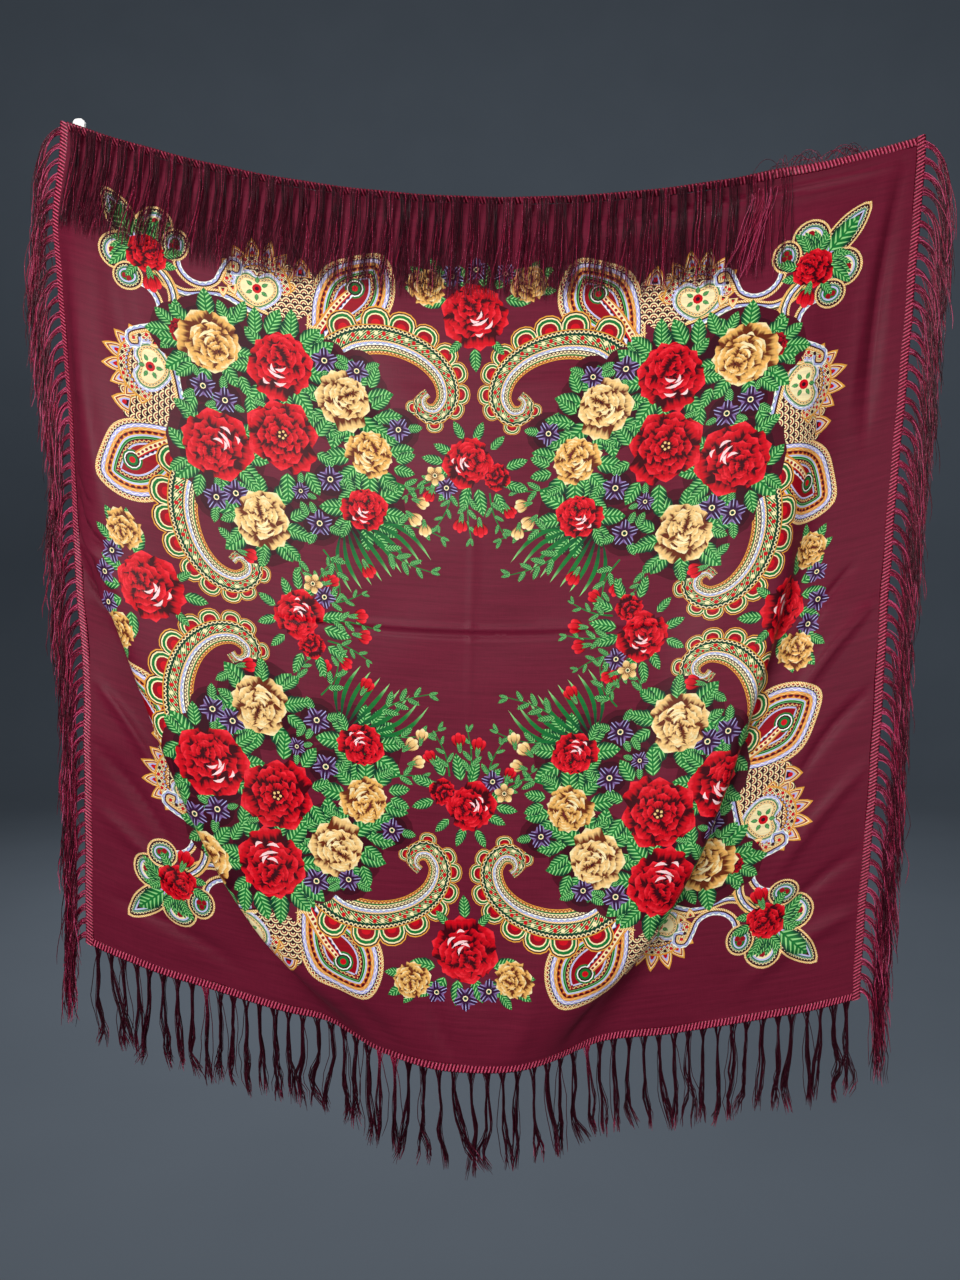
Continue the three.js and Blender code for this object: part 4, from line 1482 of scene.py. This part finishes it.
def tubes(side, paths, tones, material):
    """Threads as thin tubes. paths is threads by points by xyz, and tones is threads by points."""
    paths = np.concatenate(paths)
    tones = np.concatenate(tones)
    threads, length, _ = paths.shape
    radii = np.full(tones.shape, THREAD_RADIUS * LOCKS[side].thickness)
    radii[:, -1] *= THIN_TIP
    way = unit(np.gradient(paths, axis=1))
    one = unit(np.cross(way, ANY_WAY))
    other = np.cross(way, one)
    turn = 2 * np.pi * np.arange(TUBE_SIDES)[:, None] / TUBE_SIDES
    round_it = np.cos(turn) * one[:, :, None] + np.sin(turn) * other[:, :, None]
    rim = paths[:, :, None] + radii[..., None, None] * round_it
    index = np.arange(threads * length * TUBE_SIDES).reshape(threads, length, TUBE_SIDES)
    after = np.roll(index, -1, axis=2)
    faces = np.stack([index[:, :-1], after[:, :-1], after[:, 1:], index[:, 1:]], -1).reshape(-1, 4)
    piece = make_mesh(f"fringe_{side}_threads", rim.reshape(-1, 3) * MM, faces)
    # Each point's tone, and how strongly the pink flecks of painted glint show on it
    values = np.stack([tones, np.clip(GLINT * tones, 0, 1), tones * 0], -1)
    set_attribute(piece, "thread", "POINT", np.repeat(values[:, :, None], TUBE_SIDES, axis=2))
    piece.data.materials.append(material)
    return piece


def wavy(threads, length, size, draw):
    """A smooth sideways wander for each thread, growing towards its tip."""
    t = np.linspace(0, 1, length)
    total = np.zeros((threads, length))
    for turns in (0.8, 1.7, 3.1):
        phase = draw.uniform(0, 2 * math.pi, (threads, 1))
        total += draw.normal(0, 1 / turns, (threads, 1)) * np.sin(2 * math.pi * turns * t + phase)
    return size * total * t**1.3


def roots(side, along, draw):
    """The spread of a lock's threads, where they leave the braid, and its seam and outward way there."""
    half = LOCKS[side].half
    spread = draw.uniform(-half, half, LOCKS[side].threads)
    seam, outwards, _ = braid_frame(side, np.clip(along + spread, CORNER_ROOM, SIDE - CORNER_ROOM))
    return spread, seam + outwards * ROOT_OUT, seam, outwards


def bottom_fringe(material):
    """Locks that hang free, each in three strands that fray at their tips."""
    draw = np.random.default_rng(3)
    length = 11
    n, mean_long = LOCKS["bottom"].threads, LOCKS["bottom"].long
    t = np.linspace(0, 1, length)
    strand = np.arange(n) % BOTTOM_STRANDS
    gather = np.exp(-((t * 100) / 9.0) ** 1.2)[None]
    paths, tones = [], []
    for k, along in enumerate(lock_places("bottom")):
        _, root, _, _ = roots("bottom", along, draw)
        centre = root.mean(0)
        long = mean_long + draw.normal(0, 3) + draw.uniform(-9, 5, n)
        lean = draw.normal(0, 3.0) + (draw.normal(0, 10) if draw.uniform() < 0.14 else 0)
        lean_of = draw.normal(0, 2.6, (BOTTOM_STRANDS, 1))
        strand_x = (lean_of * t**0.9 + wavy(BOTTOM_STRANDS, length, 2.6, draw))[strand]
        x = centre[0] + (root[:, :1] - centre[0]) * gather + draw.normal(0, 0.5, (n, 1)) + lean * t**1.7
        x = x + strand_x + wavy(1, length, 2.6, draw) + wavy(n, length, 0.8, draw)
        y = centre[1] + draw.normal(0, 1.1, (n, 1)) + wavy(n, length, 1.6, draw)
        z = root[:, 2:3] - long[:, None] * t
        stray = draw.uniform(size=n) < 0.05
        x[stray] += draw.uniform(-9, 9, (stray.sum(), 1)) * np.sin(np.pi * t * 0.8)
        paths.append(np.stack([x, np.minimum(y, -12), z], -1))
        # Painted light: these locks stay near black as painted shade, their fraying ends turn pink as a
        # painted highlight, and a few locks are lighter at the root
        frayed_tip_highlight = np.clip((t - 0.80) / 0.20, 0, 1) * draw.uniform(0, 1, (n, 1)) ** 1.5 * draw.uniform(0.2, 1)
        tone = 0.02 + 0.08 * draw.uniform(size=(n, 1)) + 0.75 * frayed_tip_highlight
        light_root = k in LIGHT_BOTTOM_LOCKS
        tones.append(tone + 0.5 * (1 - t) ** 4 * light_root)
    return tubes("bottom", paths, tones, material)


def side_fringe(side, material):
    """Bundles that leave a side braid, arch over and hang in a loose mass."""
    draw = np.random.default_rng(5 if side == "left" else 6)
    away = -1 if side == "left" else 1
    length = 14
    n = LOCKS[side].threads
    t = np.linspace(0, 1, length)
    gather = (0.64 + 0.36 * np.exp(-((t * 100) / 8.0) ** 1.2))[None, :, None]
    paths, tones = [], []
    for along in lock_places(side):
        _, root, _, _ = roots(side, along, draw)
        centre = root.mean(0)
        base = centre + (root[:, None] - centre) * gather + draw.normal(0, 0.5, (n, 1, 3))
        upper = 1 - np.clip(along / 300, 0, 1)
        stiff = np.clip(13.5 + 4.5 * draw.uniform() + 3 * upper + draw.normal(0, 2.2, (n, 1)), 8, 24)
        run = (LOCKS[side].long + draw.uniform(-9, 6, (n, 1))) * t**1.25
        fall = math.pi / 2 * (1 - np.exp(-run / stiff)) - 0.12 * np.exp(-run / 6)
        step = np.diff(run, axis=1, prepend=0)
        out = np.cumsum(np.cos(fall) * step, 1) + 0.02 * run
        x = base[..., 0] + away * out + wavy(n, length, 2.6, draw)
        y = base[..., 1] + draw.normal(0, 1.6, (n, 1)) * t + wavy(n, length, 2.2, draw)
        z = base[..., 2] - np.cumsum(np.sin(fall) * step, 1)
        paths.append(np.stack([x, np.minimum(y, -8), z], -1))
        # Tones random per thread, partly as painted light: mostly dark threads as painted shade, a few light
        # ones and a lighter arch near the braid as painted glints
        tone = 0.08 + 0.72 * draw.uniform(size=(n, 1)) ** 2.0 + 0.14 * wavy(n, length, 1.0, draw)
        tones.append(np.clip(tone + 0.26 * np.exp(-run / 16), 0, 1))
    return tubes(side, paths, tones, material)


def loose_arcs(draw, length):
    """Threads that spring up from behind the top braid near the right corner and arch back down."""
    n = LOOSE_THREADS
    t = np.linspace(0, 1, length)
    along = draw.uniform(752, 842, n)
    seam, outwards, _ = braid_frame("top", along)
    root = seam + outwards * (BRAID_WIDTH - 2)
    rise = draw.uniform(6, 17, (n, 1)) * np.sin(math.pi * np.clip(t * draw.uniform(1.0, 1.6, (n, 1)), 0, 1.2))
    x = root[:, :1] + draw.uniform(-46, 14, (n, 1)) * t
    y = root[:, 1:2] + draw.uniform(0.5, 4, (n, 1)) + 2 * t
    z = root[:, 2:3] + rise - draw.uniform(4, 14, (n, 1)) * t**2
    tones = np.repeat(0.15 + 0.5 * draw.uniform(size=(n, 1)) ** 2, length, 1)
    return np.stack([x, y, z], -1), tones


def bright_strands(draw, length):
    """A few light threads that lie slanted over the cloth's face near the right end of its top fringe."""
    n = BRIGHT_THREADS
    t = np.linspace(0, 1, length)
    across = draw.uniform(722, 750, (n, 1)) - draw.uniform(6, 40, (n, 1)) * t
    down = 14 + draw.uniform(0, 8, (n, 1)) + draw.uniform(66, 96, (n, 1)) * t
    points = cloth.points(across + wavy(n, length, 1.5, draw), down, 4.5 + 1.5 * draw.uniform(size=(n, 1, 1)))
    tones = np.repeat(0.5 + 0.35 * draw.uniform(size=(n, 1)), length, 1)
    return points, tones


def top_fringe(material):
    """Bundles that fall over the cloth's face, and behind it towards the right corner."""
    draw = np.random.default_rng(9)
    length = 12
    n, half = LOCKS["top"].threads, LOCKS["top"].half
    t = np.linspace(0, 1, length)
    paths, tones = [], []
    for along in lock_places("top"):
        if SIDE - along < BARE_TOP_END:
            continue
        front = along < FRONT_FRINGE_END
        spread, root, seam, outwards = roots("top", along, draw)
        over = seam + outwards * (BRAID_WIDTH + 1.0) + np.array([0, -1.6 if front else 4.5, 0])
        long = LOCKS["top"].long + draw.uniform(-12, 8, (n, 1))
        down = BRAID_WIDTH + 4 + long * t
        fan = spread[:, None] * (0.75 + 0.25 * t) + draw.normal(0, 4.4, (n, 1)) * t**1.2
        across = np.clip(along + (fan + wavy(n, length, 1.8, draw)), 3, SIDE - 3)
        lift = (2.2 + 2.6 * draw.uniform(size=(n, 1))) * np.clip(t * 6 + 0.3, 0, 1)
        off = lift + 0.4 * abs(wavy(n, length, 1.0, draw))
        points = cloth.points(across, down, (off if front else -off - 4.0)[..., None])
        points[:, 0] = root
        points[:, 1] = over * 0.6 + points[:, 1] * 0.4
        shown = np.full(n, True)
        if front:
            shown = draw.uniform(size=n) < np.clip((FRONT_FRINGE_END + 10 - along) / 90, 0.35, 1)
        paths.append(points[shown])
        # Painted light: mostly dark threads as painted shade, some lifted by a painted glint, darker towards
        # a lock's edges as painted shade between locks, and lighter towards the tips
        painted_glints = draw.uniform(size=(n, 1)) < 0.14
        tone = 0.02 + 0.16 * draw.uniform(size=(n, 1)) + np.where(painted_glints, 0.40, 0.0)
        tone = tone + 0.08 * wavy(n, length, 1.0, draw) + 0.10 * t - 0.10 * abs(spread[:, None]) / half
        tones.append(np.clip(tone, 0, 1)[shown])
    for extra in (loose_arcs, bright_strands):
        extra_paths, extra_tones = extra(draw, length)
        paths.append(extra_paths)
        tones.append(extra_tones)
    return tubes("top", paths, tones, material)


# The object

def join(piece):
    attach(piece, "root")


makers = (ground_material, petal_material, leaf_material, band_material)
flat_cloth = cloth_faces()
front = cloth_piece("shawl_cloth_face", True, [maker(False) for maker in makers], flat_cloth)
back = cloth_piece("shawl_cloth_reverse", False, [maker(True) for maker in makers], flat_cloth)
thread = thread_material()
gimp = braid_material()
trimmings = []
for side in ("top", "bottom", "left", "right"):
    edging = braid(side, gimp)
    if side == "top":
        locks = top_fringe(thread)
    elif side == "bottom":
        locks = bottom_fringe(thread)
    else:
        locks = side_fringe(side, thread)
    join(edging)
    join(locks)
    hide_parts(f"fringe_{side}")
    trimmings += [edging, locks]
join(front)
join(back)
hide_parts("shawl_cloth")
plastic = hook_material()
for name in ("hook_left", "hook_right"):
    hook = nodes[name]
    hook.data.materials.clear()
    hook.data.materials.append(plastic)


# The studio

def stage():
    """A grey floor that curves up into walls all round, so that every view has a plain background."""
    floor_z, radius, curve, top = -1.5, 4.2, 1.2, 4.5
    sides = 96
    profile = [(max(radius * k / 6, 0.0001), floor_z) for k in range(7)]
    for k in range(1, 9):
        turn = math.pi / 2 * k / 8
        profile.append((radius + curve * math.sin(turn), floor_z + curve * (1 - math.cos(turn))))
    profile.append((radius + curve, top))
    turns = [2 * math.pi * k / sides for k in range(sides)]
    points = [
        (reach * math.cos(turn), reach * math.sin(turn), height)
        for reach, height in profile
        for turn in turns
    ]
    index = np.arange(len(points)).reshape(len(profile), sides)
    after = np.roll(index, -1, axis=1)
    quads = np.stack([index[:-1], after[:-1], after[1:], index[1:]], -1).reshape(-1, 4)
    floor = make_mesh("studio_floor", points, quads)
    shader = Shader("studio_paper")
    colour = shader.mix(shader.noise(shader.place(), 3.0), linear((82, 92, 103)), linear((88, 98, 109)))
    floor.data.materials.append(shader.finish(colour, 0.9))


def area_light(name, place, target, size, power, spread=180):
    data = bpy.data.lights.new(name, "AREA")
    data.spread = math.radians(spread)
    data.shape = "RECTANGLE"
    data.size, data.size_y = size
    data.energy = power
    light = bpy.data.objects.new(name, data)
    light.location = place
    light.rotation_mode = "QUATERNION"
    light.rotation_quaternion = (Vector(target) - Vector(place)).to_track_quat("-Z", "Y")
    bpy.context.scene.collection.objects.link(light)


def lights():
    middle = (0, 0, -0.5)
    area_light("key", (-1.1, -2.5, 0.35), (-0.08, 0, -0.44), (1.3, 1.0), 11.0, 66)
    area_light("fill", (1.3, -2.4, -0.6), middle, (1.3, 1.3), 20)
    area_light("overhead", (0.2, -0.4, 2.2), (0, -0.1, -0.5), (1.6, 1.0), 10)
    area_light("behind", (-0.6, 2.6, 1.0), middle, (1.8, 1.4), 48)
    area_light("backdrop", (0, 1.6, 2.6), (0, 5.4, 0.2), (3.0, 0.8), 60)
    world = bpy.data.worlds.new("studio_air")
    world.use_nodes = True
    air = world.node_tree.nodes["Background"]
    air.inputs["Color"].default_value = (0.86, 0.88, 0.9, 1)
    air.inputs["Strength"].default_value = 0.24
    bpy.context.scene.world = world
    bpy.context.scene.view_settings.view_transform = "Standard"


def camera():
    """The photograph's view: a little to the right of the middle, turned left, looking slightly down."""
    place = Vector((31.25, -1026.7, -477.4)) * MM
    yaw, pitch, roll = (math.radians(v) for v in (2.2486, 2.712, -0.2695))
    focal_pixels, long_pixels, sensor = 961.0, 1280.0, 36.0
    ahead = Vector((-math.sin(yaw) * math.cos(pitch), math.cos(yaw) * math.cos(pitch), -math.sin(pitch)))
    level = ahead.cross(Vector((0, 0, 1))).normalized()
    plumb = level.cross(ahead)
    right = level * math.cos(roll) + plumb * math.sin(roll)
    up = plumb * math.cos(roll) - level * math.sin(roll)
    data = bpy.data.cameras.new("camera")
    data.sensor_width = sensor
    data.lens = sensor * focal_pixels / long_pixels
    data.clip_start = 0.05
    eye = bpy.data.objects.new("camera", data)
    eye.matrix_world = Matrix.Translation(place) @ Matrix((right, up, -ahead)).transposed().to_4x4()
    bpy.context.scene.collection.objects.link(eye)
    bpy.context.scene.camera = eye


stage()
lights()
camera()
